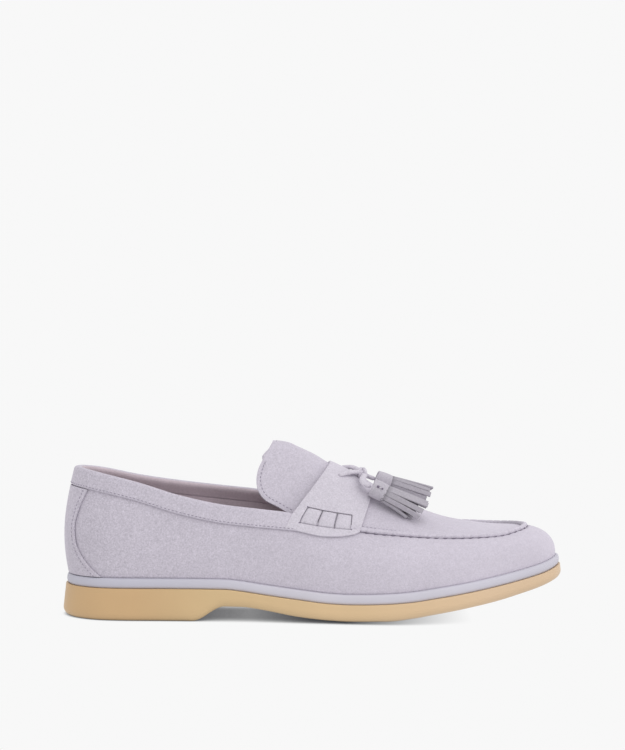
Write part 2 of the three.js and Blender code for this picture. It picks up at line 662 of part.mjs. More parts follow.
// Collar strip: outside leg, over the top edge, and a short leg inside
function collarStrip() {
  const end = angleAt(PLACES.saddleBack) - 0.005;
  const angles = steps(33).map((t) => mix(-end, end, t));
  const thick = GAP + OVERLAY;
  const lines = angles.map((angle) => {
    const girth = [0, 0.5, 1.2, COLLAR_WIDTH * 0.5, COLLAR_WIDTH];
    const lean = Math.pow(angle / end, 13);
    const beside = (step) => girth.map((g) => skin(angle + step - lean * saddleLean(0, g), g));
    const wall = beside(0);
    const ahead = beside(0.01);
    const behind = beside(-0.01);
    const normal = girth.map((_, k) => {
      const down = wall[Math.min(k + 1, 4)].clone().sub(wall[Math.max(k - 1, 0)]);
      return ahead[k].clone().sub(behind[k]).cross(down).normalize();
    });
    const down = wall[1].clone().sub(wall[0]).normalize();
    const at = (out, drop) => wall[0].clone().addScaledVector(normal[0], out).addScaledVector(down, drop);
    const leg = (k, out) => wall[k].clone().addScaledVector(normal[k], out);
    const outer = [
      at(-WALL - thick, COLLAR_INSIDE),
      at(-WALL - thick, 0.4),
      at(-WALL - 0.5 * thick, -0.8 * thick),
      at(-0.5 * WALL, -thick),
      at(0.5 * thick, -0.8 * thick),
      at(thick, 0.4),
      leg(2, thick),
      leg(3, thick),
      leg(4, thick),
    ];
    const inner = [
      at(-WALL - GAP, COLLAR_INSIDE),
      at(-WALL - GAP, 0.4),
      at(-WALL - GAP, -GAP),
      at(-0.5 * WALL, -GAP),
      at(GAP, -GAP),
      at(GAP, 0.4),
      leg(2, GAP),
      leg(3, GAP),
      leg(4, GAP),
    ];
    return { outer, inner };
  });
  return shell(lines.map((l) => l.outer), lines.map((l) => l.inner));
}

// Heel counter: a strip laid on the back of the wall, waisted in the middle
function heelCounter() {
  const round = along(COUNTER, "round", "down");
  const rows = steps(7);
  const columns = steps(16).map((t) => 2 * t - 1);
  const point = (c, down) => {
    const angle = c * round(down);
    const top = COLLAR_WIDTH + 2 * GAP;
    return skin(angle, mix(top, footGirth(angle) - GAP, down));
  };
  return sheet(grid(columns, rows, point), 1.8 * GAP, 1.8 * GAP + 0.7 * OVERLAY);
}

// Saddle: the strap over the instep. Its places are how far along it from back to front, and the girth from
// the seam.
const saddleAngle = (share, side) => side * angleAt(mix(PLACES.saddleBack, PLACES.saddleFront, share));
const hem = along(SADDLE_HEM, "drop", "along");

// How far its lines lean back below the seam, in radians of the outline
function saddleLean(share, girth) {
  const slant = mix(SADDLE_SLANT.back, SADDLE_SLANT.front, share);
  return (Math.max(girth, 0) * slant) / (0.5 * (TOP_FRONT - TOP_BACK));
}

const saddlePoint = (share, side, girth) =>
  skin(saddleAngle(share, side) - side * saddleLean(share, girth), girth);

function saddle() {
  const rows = steps(8);
  const columns = steps(20).map((t) => 2 * t - 1);
  const point = (share, across) => {
    const side = across < 0 ? -1 : 1;
    const crest = crestGirth(saddleAngle(share, side));
    return saddlePoint(share, side, mix(crest, SADDLE_DROP * hem(share), Math.abs(across)));
  };
  const strap = solid(sheet(grid(rows, columns, point), GAP, GAP + OVERLAY));
  const cut = [-1, 1].reduce((left, side) => left.subtract(solid(windowBlock(side))), strap);
  return fromSolid(cut);
}

// The slot in the saddle's side, and the pads that lie in it
const windowTilt = along(WINDOW, "tilt");
const windowAbove = along(WINDOW, "above");
const windowBelow = along(WINDOW, "below");

function patch(side, back, front, clear, count) {
  const rows = steps(count).map((t) => mix(back, front, t));
  const columns = side < 0 ? steps(count).reverse() : steps(count);
  return grid(rows, columns, (share, down) => {
    const top = clear - WINDOW_HEIGHT * windowAbove(share);
    const bottom = WINDOW_HEIGHT * windowBelow(share) - clear;
    return saddlePoint(share + windowTilt(share) * (2 * down - 1), side, mix(top, bottom, down));
  });
}

const windowBlock = (side) =>
  sheet(patch(side, WINDOW[0].at, WINDOW[1].at, 0, 6), -GAP / 3, GAP + 3 * OVERLAY);

function pad(side, index) {
  const pitch = (WINDOW[1].at - WINDOW[0].at) / PADS;
  const strap = topPoint(angleAt(PLACES.saddleFront)).x - topPoint(angleAt(PLACES.saddleBack)).x;
  const groove = (0.5 * PAD_GROOVE) / strap;
  const back = WINDOW[0].at + index * pitch + groove;
  const front = WINDOW[0].at + (index + 1) * pitch - groove;
  const count = 4;
  const bow = (i) => 1 - Math.pow((2 * i) / count - 1, 4);
  const high = (i, j) => GAP + PAD_HEIGHT * (0.45 + 0.55 * Math.sqrt(bow(i) * bow(j)));
  return sheet(patch(side, back, front, WINDOW_CLEAR, count), GAP, high);
}

// Lace and tassels. A point over the saddle is a share of the way along it, a step to the side and a height.
const SADDLE_TOP = GAP + OVERLAY;

function overSaddle(share, across, height) {
  const side = across < 0 ? -1 : 1;
  const angle = saddleAngle(share, side);
  const s = Math.abs(across / topPoint(angle).y);
  const foot = archLine(angle)(s);
  const ahead = archLine(angle + 0.02 * side)(s).sub(foot);
  const aside = archLine(angle)(s + 0.02).sub(foot).multiplyScalar(side);
  return foot.addScaledVector(ahead.cross(aside).normalize(), height);
}

function tube(points, radius, sides, stepsAlong) {
  const path = new THREE.CatmullRomCurve3(points);
  const outline = new THREE.Shape(
    steps(sides).slice(0, -1).map((t) => {
      const turn = 2 * Math.PI * t;
      return new THREE.Vector2(radius * Math.cos(turn), radius * Math.sin(turn));
    }),
  );
  return new THREE.ExtrudeGeometry(outline, { steps: stepsAlong, extrudePath: path, bevelEnabled: false });
}

function tasselFrame({ side, at, across, over, yaw, droop }) {
  const angle = saddleAngle(at, side);
  const line = archLine(angle);
  const s = Math.abs((across * BALL_WIDTH) / 2 / topPoint(angle).y);
  const foot = line(s);
  const ahead = vec(Math.cos(radians(yaw)), Math.sin(radians(yaw)), -Math.tan(radians(droop))).normalize();
  const sideways = line(s + 0.02).sub(line(s - 0.02)).multiplyScalar(side);
  const up = ahead.clone().cross(sideways).normalize();
  const start = foot.addScaledVector(up, HEAD_RADIUS * (1 + over) + SADDLE_TOP);
  return { start, ahead, up };
}

// Two strands from the saddle's holes to a knot, and on to the tassels
function lace() {
  const knot = overSaddle(KNOT.along, KNOT.aside * LACE, SADDLE_TOP + KNOT.z * LACE + 2 * GAP);
  const knob = solid(new THREE.IcosahedronGeometry(LACE, 2).applyMatrix4(
    new THREE.Matrix4().makeScale(KNOT.x, KNOT.y, KNOT.z).setPosition(knot),
  ));
  const rest = SADDLE_TOP + LACE / 2 + GAP;
  const parts = TASSELS.map((tassel) => {
    const { start, ahead } = tasselFrame(tassel);
    const strand = STRAND.map((row) =>
      overSaddle(row.along, (KNOT.aside + tassel.side * row.aside) * LACE, rest + row.over * LACE));
    const end = start.clone().addScaledVector(ahead, -2 * GAP);
    const bend = start.clone().addScaledVector(ahead, -1.3 * LACE);
    return solid(tube([...strand, knot, bend, end], LACE / 2, 8, 12));
  });
  return fromSolid(parts.reduce((all, part) => all.add(part), knob));
}

function tasselHead() {
  const r = HEAD_RADIUS;
  const profile = [
    [0, 0],
    [0.45 * r, 0],
    [0.86 * r, 0.12 * HEAD_LENGTH],
    [r, 0.3 * HEAD_LENGTH],
    [r, 0.94 * HEAD_LENGTH],
    [0.92 * r, HEAD_LENGTH],
    [0, HEAD_LENGTH],
  ];
  const lathe = new THREE.LatheGeometry(profile.map(([x, y]) => new THREE.Vector2(x, y)), 14);
  return lathe.rotateZ(-Math.PI / 2);
}

// Fringe: a ring of strips round a core, splayed and cut to slightly different lengths. They lie close on
// the side towards the shoe.
function fringe({ splay }) {
  const middle = HEAD_LENGTH + GAP + CORE_LENGTH / 2;
  const cylinder = new THREE.CylinderGeometry(0.82 * HEAD_RADIUS, 0.78 * HEAD_RADIUS, CORE_LENGTH, 12);
  const core = solid(cylinder.rotateZ(Math.PI / 2).translate(middle, 0, 0));
  const strips = steps(STRIPS).slice(0, -1).map((t, k) => {
    const turn = 2 * Math.PI * t;
    const length = FRINGE_LENGTH * (1 - 0.08 * ((k * 2) % 3));
    const open = radians(splay * (0.45 + 0.55 * Math.cos(turn)) + 2 * ((k * 5) % 3) - 2);
    const strip = new THREE.BoxGeometry(length, STRIP_WIDTH, STRIP_THICK);
    strip.translate(length / 2, 0, 0);
    strip.rotateY(-open);
    strip.translate(HEAD_LENGTH + GAP, 0, 0.76 * HEAD_RADIUS);
    strip.rotateX(turn);
    return solid(strip);
  });
  return fromSolid(strips.reduce((all, strip) => all.add(strip), core));
}

function place(geometry, { start, ahead, up }) {
  const matrix = new THREE.Matrix4().makeBasis(ahead, up.clone().cross(ahead), up).setPosition(start);
  return geometry.applyMatrix4(matrix);
}

// Assembly
const loafer = new THREE.Group();

function addPiece(name, geometry, material) {
  geometry.computeVertexNormals();
  const mesh = new THREE.Mesh(geometry, material);
  mesh.name = name;
  loafer.add(mesh);
}

addPiece("outsole", outsole(), GUM_RUBBER);
addPiece("midsole", midsole(), GREY_RUBBER);
addPiece("insole", insole(), LINING);
addPiece("upper", upper(), SUEDE);
addPiece("tongue", tongue(), SUEDE);
addPiece("collar_strip", collarStrip(), SUEDE);
addPiece("heel_counter", heelCounter(), SUEDE);
addPiece("saddle", saddle(), TRIM);
for (const [side, name] of [[-1, "outer"], [1, "inner"]]) {
  for (let k = 0; k < PADS; k++) addPiece(`pad_${name}_${k + 1}`, pad(side, k), TRIM);
}
addPiece("lace", lace(), TRIM);
for (const tassel of TASSELS) {
  addPiece(`tassel_head_${tassel.name}`, place(tasselHead(), tasselFrame(tassel)), TRIM);
  addPiece(`tassel_fringe_${tassel.name}`, place(fringe(tassel), tasselFrame(tassel)), TRIM);
}

export default loafer;
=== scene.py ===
import math
import random

import bmesh
import bpy
from mathutils import Matrix, Vector, noise


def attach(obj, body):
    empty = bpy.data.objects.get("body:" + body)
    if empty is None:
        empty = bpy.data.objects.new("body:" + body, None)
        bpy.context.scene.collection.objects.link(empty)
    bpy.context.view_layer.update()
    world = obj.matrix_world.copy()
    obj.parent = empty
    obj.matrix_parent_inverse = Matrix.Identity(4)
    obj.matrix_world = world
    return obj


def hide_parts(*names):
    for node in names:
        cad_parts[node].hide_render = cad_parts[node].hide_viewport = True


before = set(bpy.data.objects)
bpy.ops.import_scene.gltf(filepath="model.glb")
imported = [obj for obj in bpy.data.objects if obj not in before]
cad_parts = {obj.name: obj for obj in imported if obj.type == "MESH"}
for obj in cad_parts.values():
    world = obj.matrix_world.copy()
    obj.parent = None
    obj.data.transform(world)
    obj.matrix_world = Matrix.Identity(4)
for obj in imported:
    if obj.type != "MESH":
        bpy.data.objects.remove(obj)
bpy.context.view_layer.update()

bl_info = {
    "name": "Tassel Loafer",
    "version": (1, 0, 0),
    "blender": (4, 5, 0),
    "location": "View3D > Sidebar > Loafer",
    "description": "Dresses a suede tassel loafer over its solid model",
    "category": "Add Mesh",
}

MM = 0.001
TURN = 2 * math.pi

# Sizes of the solid model, in millimetres
LENGTH = 300
BALL_WIDTH = 104
HEEL_HEIGHT = 19
FORE_HEIGHT = 11.4
WAIST_LIFT = 9.6
TOE_SPRING = 21.5
CAMBER = 2.1
TOE_RISE = 18.6
MIDSOLE = 6
BACK_HEIGHT = 89.5
SEAM_HEIGHT = 49
TONGUE_HEIGHT = 104.2
WALL = 2.2
OVERLAY = 1.3
GAP = 0.3
INSOLE = 3.4
FLARE = 0.105
EDGE_ROUND = 4.4
MIDSOLE_INSET = 0.7
UPPER_INSET = 3.1
COLLAR_WIDTH = 9.9
COLLAR_INSIDE = 3.4
SADDLE_DROP = 9.3
WINDOW_HEIGHT = 10.6
PAD_HEIGHT = 1.5
LACE = 3.0
HEAD_LENGTH = 9.4
HEAD_RADIUS = 5.8
FRINGE_LENGTH = 26
PADS = 3

# The solid model's own tables, as shares of those sizes
PLAN_AT = (0, 0.03, 0.07, 0.12, 0.2, 0.3, 0.4, 0.5, 0.6, 0.66, 0.73, 0.8, 0.87, 0.93, 0.975, 1)
PLAN_OUTER = (0, 0.42, 0.58, 0.64, 0.66, 0.7, 0.775, 0.875, 0.965, 1, 0.965, 0.855, 0.69, 0.485, 0.27, -0.12)
PLAN_INNER = (0, 0.42, 0.58, 0.64, 0.64, 0.59, 0.57, 0.64, 0.81, 0.925, 1, 0.975, 0.86, 0.705, 0.5, 0.12)

SIDE_AT = (0, 0.262, 0.325, 0.36, 0.4, 0.475, 0.533, 0.57, 0.6, 0.64, 0.7, 0.735, 0.795, 0.875, 0.915,
           0.955, 1)
SIDE_SEAT = (1, 1, 0.99, 0.87, 0.65, 0.29, 0.05, 0, 0, 0, 0, 0, 0, 0, 0, 0, 0)
SIDE_TOE = (0, 0, 0, 0, 0, 0, 0, 0, 0.005, 0.03, 0.105, 0.185, 0.315, 0.53, 0.65, 0.785, 1)
SIDE_WAIST = (0, 0, 0.9, 0.89, 0.74, 0.26, 0.05, 0, 0, 0, 0, 0, 0, 0, 0, 0, 0)
SIDE_SPRING = (0, 0, 0, 0, 0, 0, 0, 0, 0, 0, 0.085, 0.165, 0.3, 0.52, 0.65, 0.79, 1)
SIDE_CAMBER = (0, 0, 0, 0, 0, 0.4, 0.66, 0.72, 0.78, 1, 1, 0.92, 0.74, 0.5, 0.45, 0.35, 0)

TOP_AT = (0, 0.058, 0.146, 0.234, 0.322, 0.41, 0.478, 0.545, 0.635, 0.719, 0.807, 0.884, 0.94, 0.975, 1)
TOP_OUTER = (0, 0.4, 0.5, 0.54, 0.562, 0.587, 0.615, 0.64, 0.665, 0.675, 0.62, 0.525, 0.4, 0.245, -0.067)
TOP_INNER = (0, 0.4, 0.49, 0.52, 0.535, 0.55, 0.58, 0.62, 0.675, 0.715, 0.7, 0.625, 0.51, 0.375, 0.067)
RISE_OUTER = (1, 0.938, 0.794, 0.61, 0.48, 0.41, 0.355, 0.23, 0.109, 0.052, 0.01, 0, 0.012, 0.055, 0.09)
RISE_INNER = (1, 0.92, 0.785, 0.694, 0.622, 0.55, 0.46, 0.33, 0.17, 0.09, 0.05, 0.045, 0.05, 0.07, 0.09)
TOP_FLARE = (12, 11, 8, 6, 6, 6, 7, 8, 8, 8, 8, 7, 6, 6, 6)
TOP_LEAN = (14, 13, 11, 11, 12, 17, 25, 34, 45, 54, 62, 70, 78, 82, 84)
TOP_HOLD = (0.38, 0.38, 0.38, 0.38, 0.38, 0.38, 0.38, 0.4, 0.42, 0.43, 0.45, 0.45, 0.43, 0.41, 0.41)
TOPLINE_BACK = 0.028
TOPLINE_FRONT = 0.93

APRON_AT = (0.478, 0.545, 0.59, 0.635, 0.719, 0.763, 0.807, 0.884, 0.94, 1)
APRON_FORWARD = (0.075, 0.052, 0.037, 0.0265, 0.018, 0.015, 0.012, 0.006, 0.003, 0)
APRON_DOME = (0.465, 0.46, 0.43, 0.378, 0.26, 0.19, 0.137, 0.078, 0.045, 0)
APRON_ARCH = (2.2, 2.15, 2.1, 2.1, 2.0, 2.0, 2.0, 2.0, 2.0, 2.0)
THROAT = 0.552
SADDLE_BACK = 0.478
SADDLE_FRONT = 0.627

# crest, crest height, foot, foot height, half width, reach
TONGUE = (
    (0.5, 0.926, 0.423, 0.74, 0.512, 0.975),
    (0.4733, 0.9625, 0.3983, 0.757, 0.5, 0.95),
    (0.4533, 0.988, 0.3817, 0.79, 0.491, 0.92),
    (0.4367, 0.998, 0.3683, 0.804, 0.484, 0.85),
    (0.425, 1, 0.36, 0.81, 0.478, 0.74),
    (0.4207, 1, 0.3567, 0.812, 0.475, 0.53),
)
# share of the way from the throat to the saddle's back, and how far the sides have sunk
TONGUE_ROOT = ((0.03, 0), (0.5, 0.5), (1, 1))
COUNTER_DOWN = (0, 0.25, 0.45, 0.62, 0.82, 1)
COUNTER_ROUND = (0.385, 0.315, 0.285, 0.31, 0.41, 0.55)
HEM_ALONG = (0, 0.2, 0.4, 0.65, 0.85, 0.95, 1)
HEM_DROP = (0.96, 1, 0.97, 0.8, 0.52, 0.3, 0.1)
SADDLE_SLANT = 0.42
WINDOW_AT = (0.14, 0.844)
WINDOW_TILT = (0.009, 0.031)
WINDOW_ABOVE = (0.72, 0.89)
WINDOW_BELOW = (0.4, 0.11)

# side, share along the saddle, step from the crest, height over the saddle, yaw and droop in degrees, splay
TASSELS = {
    "outer": (-1, 0.93, 0.32, 0.09, -3, 26, 6),
    "inner": (1, 1.03, 0.29, 0.09, 4, 20, 6),
}
# share along the saddle, step away from the knot and height, as shares of the lace
STRAND = ((0.31, 3.2, 0), (0.49, 1.85, 0.27))
KNOT_ALONG = 0.7
# a strip's turn round the tassel in degrees from the top, its share of the fringe's length, how far it
# opens in degrees, its curl and its tone
STRIPS = (
    (-8, 1.0, 6.0, 0.0, 0.68),
    (-41, 0.97, 3.5, 0.0, 0.64),
    (-74, 0.95, 1.0, 0.0, 0.72),
    (-116, 0.66, 3.0, 0.08, 0.66),
    (-152, 0.82, 3.0, 0.04, 0.6),
    (25, 1.0, 5.5, 0.0, 0.64),
    (57, 0.96, 4.0, 0.0, 0.62),
    (90, 0.98, 3.0, 0.0, 0.66),
    (122, 0.93, 3.0, 0.0, 0.62),
    (155, 0.9, 4.0, 0.02, 0.6),
)
# half sizes of the knot, as shares of the lace
KNOT_HALF = (0.95, 1.45, 0.9)

# lengthwise shift, size and tilt in radians of each of the knot's rings
KNOT_RINGS = ((-0.9, 1.0, 0.5), (1.0, 0.92, -0.45))
# half sizes of a ring, ahead, aside and up, in millimetres
KNOT_RING_HALF = (2.0, 2.9, 1.9)
# width and height of the lace where it runs and where it rings the knot, as shares of the lace
STRAND_SECTION = (1.35, 0.9)
RING_SECTION = (1.2, 0.75)

# Sewing, in millimetres: each stitch is its length and its thickness
SEAM_STITCH = (2.4, 0.55)
SEAM_STITCH_SLANT = 0.42
# the dark dots at the ends of the slots' cuts, painted shade in the slits
SLOT_END_SHADE = (1.0, 0.8)
HEAD_STITCH = (2.6, 0.55)
# share along the tassel's head and size of the two holes that its stitch goes through, drawn as dark blobs of
# painted shade
HEAD_HOLES = ((0.36, 1.7), (0.66, 1.25))
# how far round from the top the stitch lies, in degrees
HEAD_STITCH_TURN = 30
# how far from the edge the fine stitches run
RIM_STITCH_IN = 3.55
COLLAR_STITCH_IN = 1.05
TONGUE_STITCH_IN = 2.4
# share of the heel counter's half width at which its stitches run
COUNTER_STITCH_AT = 0.9

# How the apron seam draws the leather in, in millimetres: all along it, and more at each stitch
SEAM_SINK = 0.35
PUCKER_SINK = 0.45
SEAM_FADE = 8
# how wide a pucker is, as a share of the distance between two
PINCH_WIDTH = 0.13

# Pads: the share of a slot's third that each one fills, how square it is, the share of PAD_HEIGHT at its
# edge and what its middle adds, and how light its edge is under the painted shade of the groove round it
PAD_FILL = 0.97
PAD_SQUARE = 2.8
PAD_EDGE = 0.3
PAD_SWELL = 0.95
PAD_EDGE_SHADE = 0.74

# Tassels, in millimetres: the strips, the shorter ones inside them, and the rolled head, whose roll is in
# turns and whose tone is how light it is
STRIP_WIDTH = 3.1
STRIP_THICK = 1.2
INNER_STRIPS = 7
INNER_STRIP_WIDTH = 2.6
HEAD_ROLL = 1.16
HEAD_WALL = 1.1
HEAD_TONE = 0.8

SOFT_EDGE_ANGLE = 50

# The stage, with its lengths in metres and angles in degrees
BACKDROP = 0.938
FLOOR_HALF = 6.0
LENS = 144
CAMERA_AIM = (0.0, 0.0, 0.1437)
CAMERA_DISTANCE = 1.8
CAMERA_TILT = 4.0
# name, energy, angle across and direction of its light
SUNS = (
    ("key", 0.55, 50, (-0.35, 0.75, -1.0)),
    ("toe_fill", 0.45, 60, (-1.0, 0.35, -0.45)),
)


def mix(a, b, t):
    return a + (b - a) * t


def clamp(value, low=0.0, high=1.0):
    return max(low, min(high, value))


def smooth(low, high, value):
    t = clamp((value - low) / (high - low))
    return t * t * (3 - 2 * t)


def hump(value, width):
    """1 where the value is 0, and falling off on both sides of it."""
    return math.exp(-((value / width) ** 2))


def curve_through(places, values, monotone=True):
    """A smooth curve through the values. Level stretches stay level if it is monotone."""
    last = len(places) - 1
    slopes = [(values[i + 1] - values[i]) / (places[i + 1] - places[i]) for i in range(last)]
    tangents = [slopes[0]]
    for i in range(1, last):
        before, after = slopes[i - 1], slopes[i]
        near, far = places[i] - places[i - 1], places[i + 1] - places[i]
        if not monotone:
            tangents.append((before * far + after * near) / (near + far))
        else:
            tangents.append(0 if before * after <= 0 else 2 * before * after / (before + after))
    tangents.append(slopes[-1])

    def curve(place):
        i = 0
        while i < last - 1 and place > places[i + 1]:
            i += 1
        width = places[i + 1] - places[i]
        t = clamp((place - places[i]) / width)
        bend = t * (1 - t) * width * (tangents[i] * (1 - t) - tangents[i + 1] * t)
        return mix(values[i], values[i + 1], t * t * (3 - 2 * t)) + bend

    return curve


def lengths_along(points):
    """How far along a line each of its points lies."""
    lengths = [0.0]
    for a, b in zip(points, points[1:]):
        lengths.append(lengths[-1] + (b - a).length)
    return lengths


def space_curve(points):
    """A smooth curve through points, as a function of the length along it, and its whole length."""
    places = lengths_along(points)
    curves = [curve_through(places, [p[k] for p in points], monotone=False) for k in range(3)]
    return lambda place: Vector([curve(place) for curve in curves]), places[-1]


def angle_at(share):
    return math.acos(1 - 2 * share)


def share_at(angle):
    return (1 - math.cos(angle)) / 2


def around(at, inner, outer, sign):
    """A pair of columns as one smooth function of the outline's angle."""
    loop = [(angle_at(a), v) for a, v in zip(at, inner)]
    loop += [(TURN - angle_at(a), sign * v) for a, v in reversed(list(zip(at, outer))[1:-1])]
    before = [(a - TURN, v) for a, v in loop[-3:]]
    after = [(a + TURN, v) for a, v in loop[:4]]
    rows = before + loop + after
    curve = curve_through([a for a, _ in rows], [v for _, v in rows], monotone=False)
    return lambda angle: curve(angle % TURN)


# The sole
SOLE_BACK = -LENGTH / 2 + FLARE * (HEEL_HEIGHT - EDGE_ROUND)
SOLE_FRONT = LENGTH / 2 - FLARE * (FORE_HEIGHT + TOE_RISE - TOE_SPRING - EDGE_ROUND)
SOLE_HALF = BALL_WIDTH / 2 - FLARE * (FORE_HEIGHT - EDGE_ROUND)
plan_share = around(PLAN_AT, PLAN_INNER, PLAN_OUTER, -1)
seat = curve_through(SIDE_AT, SIDE_SEAT)
toe = curve_through(SIDE_AT, SIDE_TOE)
waist = curve_through(SIDE_AT, SIDE_WAIST)
spring = curve_through(SIDE_AT, SIDE_SPRING)
camber = curve_through(SIDE_AT, SIDE_CAMBER)


def plan_point(angle):
    return Vector((mix(SOLE_BACK, SOLE_FRONT, share_at(angle)), SOLE_HALF * plan_share(angle), 0))


def plan_out(angle, step=0.01):
    run = (plan_point(angle + step) - plan_point(angle - step)).normalized()
    return Vector((-run.y, run.x, 0))


def sole_edge(angle, outset):
    return plan_point(angle) + plan_out(angle) * outset


def outsole_top(x):
    share = clamp(x / LENGTH + 0.5)
    return FORE_HEIGHT + (HEEL_HEIGHT - FORE_HEIGHT) * seat(share) + TOE_RISE * toe(share)


def outsole_under(x):
    share = clamp(x / LENGTH + 0.5)
    return WAIST_LIFT * waist(share) + TOE_SPRING * spring(share)


def outsole_edge(x):
    return outsole_under(x) + CAMBER * camber(clamp(x / LENGTH + 0.5))


def midsole_top(x):
    return outsole_top(x) + MIDSOLE


# The upper
TOP_BACK = LENGTH * (TOPLINE_BACK - 0.5)
TOP_FRONT = LENGTH * (TOPLINE_FRONT - 0.5)
top_share = around(TOP_AT, TOP_INNER, TOP_OUTER, -1)
top_rise = around(TOP_AT, RISE_INNER, RISE_OUTER, 1)
flare_at = curve_through(TOP_AT, TOP_FLARE)
lean_at = curve_through(TOP_AT, TOP_LEAN)
hold_at = curve_through(TOP_AT, TOP_HOLD)
forward_at = curve_through(APRON_AT, APRON_FORWARD)
dome_at = curve_through(APRON_AT, APRON_DOME)
arch_at = curve_through(APRON_AT, APRON_ARCH)
counter_round = curve_through(COUNTER_DOWN, COUNTER_ROUND)
hem = curve_through(HEM_ALONG, HEM_DROP)


def top_point(angle):
    rise = mix(SEAM_HEIGHT, BACK_HEIGHT - GAP - OVERLAY, top_rise(angle))
    return Vector((mix(TOP_BACK, TOP_FRONT, share_at(angle)), BALL_WIDTH / 2 * top_share(angle), rise))


def wall_line(angle):
    """Points of the wall at one angle, from the collar or seam (0) to the foot (1)."""
    share = share_at(angle)
    foot = sole_edge(angle, -UPPER_INSET)
    foot.z = midsole_top(foot.x) + GAP
    top = top_point(angle)
    out = plan_out(angle, 0.02)
    reach = (foot - top).length * hold_at(share)
    flare, lean = math.radians(flare_at(share)), math.radians(lean_at(share))
    upper = top + (out * math.sin(lean) - Vector((0, 0, math.cos(lean)))) * reach
    lower = foot + (out * math.sin(flare) + Vector((0, 0, math.cos(flare)))) * reach

    def point(t):
        s = 1 - t
        return top * s**3 + upper * (3 * s * s * t) + lower * (3 * s * t * t) + foot * t**3

    return point


def arch_line(angle):
    """Points of the apron at one angle, from its crest (0) to the seam (1)."""
    share = share_at(angle)
    edge = top_point(angle)
    crest = (edge + top_point(-angle)) / 2
    crest.x += LENGTH * forward_at(share)
    crest.z += (TONGUE_HEIGHT - SEAM_HEIGHT) * dome_at(share)
    power = arch_at(share)

    def point(s):
        fall = abs(s) ** power
        return Vector((mix(crest.x, edge.x, fall), mix(crest.y, edge.y, s), mix(crest.z, edge.z, fall)))

    return point


SAMPLES = 40
girths = {}


def girth_line(angle):
    key = round(angle, 9)
    if key not in girths:
        above = []
        if share_at(angle) >= SADDLE_BACK - 0.03:
            arch = arch_line(angle)
            above = [arch(i / SAMPLES) for i in range(SAMPLES)]
        wall = wall_line(angle)
        points = above + [wall(i / SAMPLES) for i in range(SAMPLES + 1)]
        places = lengths_along(points)
        seam = places[len(above)]
        girths[key] = (points, [p - seam for p in places])
    return girths[key]


def skin(angle, girth):
    """A point of the outside: at an angle of the outline, and at a girth below the seam in millimetres."""
    points, places = girth_line(angle)
    low, high = 0, len(places) - 2
    while low < high:
        middle = (low + high + 1) // 2
        if places[middle] <= girth:
            low = middle
        else:
            high = middle - 1
    width = places[low + 1] - places[low]
    return points[low].lerp(points[low + 1], (girth - places[low]) / max(width, 1e-9))


def crest_girth(angle):
    return girth_line(angle)[1][0]


def foot_girth(angle):
    return girth_line(angle)[1][-1]


def skin_normal(angle, girth):
    run = skin(angle + 0.004, girth) - skin(angle - 0.004, girth)
    fall = skin(angle, girth + 0.4) - skin(angle, girth - 0.4)
    return run.cross(fall).normalized()


def over_skin(angle, girth, height):
    return skin(angle, girth) + skin_normal(angle, girth) * height


def saddle_angle(share, side):
    return side * angle_at(mix(SADDLE_BACK, SADDLE_FRONT, share))


def saddle_lean(share, girth):
    return max(girth, 0) * SADDLE_SLANT * (1 - share) / (0.5 * (TOP_FRONT - TOP_BACK))


def saddle_skin(share, side, girth, height):
    angle = saddle_angle(share, side) - side * saddle_lean(share, girth)
    return over_skin(angle, girth, height)


def window_reach(share):
    """How far the slot reaches above and below the seam at a share of the saddle."""
    t = (share - WINDOW_AT[0]) / (WINDOW_AT[1] - WINDOW_AT[0])
    return WINDOW_HEIGHT * mix(*WINDOW_ABOVE, t), WINDOW_HEIGHT * mix(*WINDOW_BELOW, t)


def window_tilt(share):
    """How much further forward the slot's lower end lies, and further back its upper end."""
    return mix(*WINDOW_TILT, clamp((share - WINDOW_AT[0]) / (WINDOW_AT[1] - WINDOW_AT[0])))


def over_saddle(share, across, height):
    """A point over the instep, by its share along the saddle, step to the side and height."""
    side = -1 if across < 0 else 1
    angle = saddle_angle(share, side)
    s = abs(across / top_point(angle).y)
    foot = arch_line(angle)(s)
    ahead = arch_line(angle + 0.02 * side)(s) - foot
    aside = (arch_line(angle)(s + 0.02) - foot) * side
    return foot + ahead.cross(aside).normalized() * height


def tassel_frame(name):
    side, share, across, over, yaw, droop, _ = TASSELS[name]
    angle = saddle_angle(share, side)
    line = arch_line(angle)
    s = abs(across * BALL_WIDTH / 2 / top_point(angle).y)
    yaw, droop = math.radians(yaw), math.radians(droop)
    ahead = Vector((math.cos(yaw) * math.cos(droop), math.sin(yaw) * math.cos(droop), -math.sin(droop)))
    sideways = (line(s + 0.02) - line(s - 0.02)) * side
    up = ahead.cross(sideways).normalized()
    start = line(s) + up * (HEAD_RADIUS * (1 + over) + GAP + OVERLAY)
    return start, ahead, up


# Meshes
def bent_grid(columns, rows, place, wrap=False, shade=None):
    """A grid bent to place(u, v), with u and v from 0 to 1. It is sewn shut where its edges meet.

    shade(u, v) darkens the suede there: painted shade in seams, grooves and hollows, and the darker tone of
    some parts.
    """
    mesh = bmesh.new()
    bmesh.ops.create_grid(mesh, x_segments=columns, y_segments=rows, size=0.5)
    along = mesh.loops.layers.uv.new("along")
    for face in mesh.faces:
        for loop in face.loops:
            loop[along].uv = (loop.vert.co.x + 0.5, loop.vert.co.y + 0.5)
    painted_shade_and_tone = mesh.verts.layers.float_color.new("painted_shade_and_tone")
    for vert in mesh.verts:
        u, v = vert.co.x + 0.5, vert.co.y + 0.5
        tone = shade(u, v) if shade else 1.0
        vert[painted_shade_and_tone] = (tone, tone, tone, 1.0)
        vert.co = place(u, v) * MM
    if wrap:
        bmesh.ops.remove_doubles(mesh, verts=mesh.verts, dist=2e-6)
    return mesh


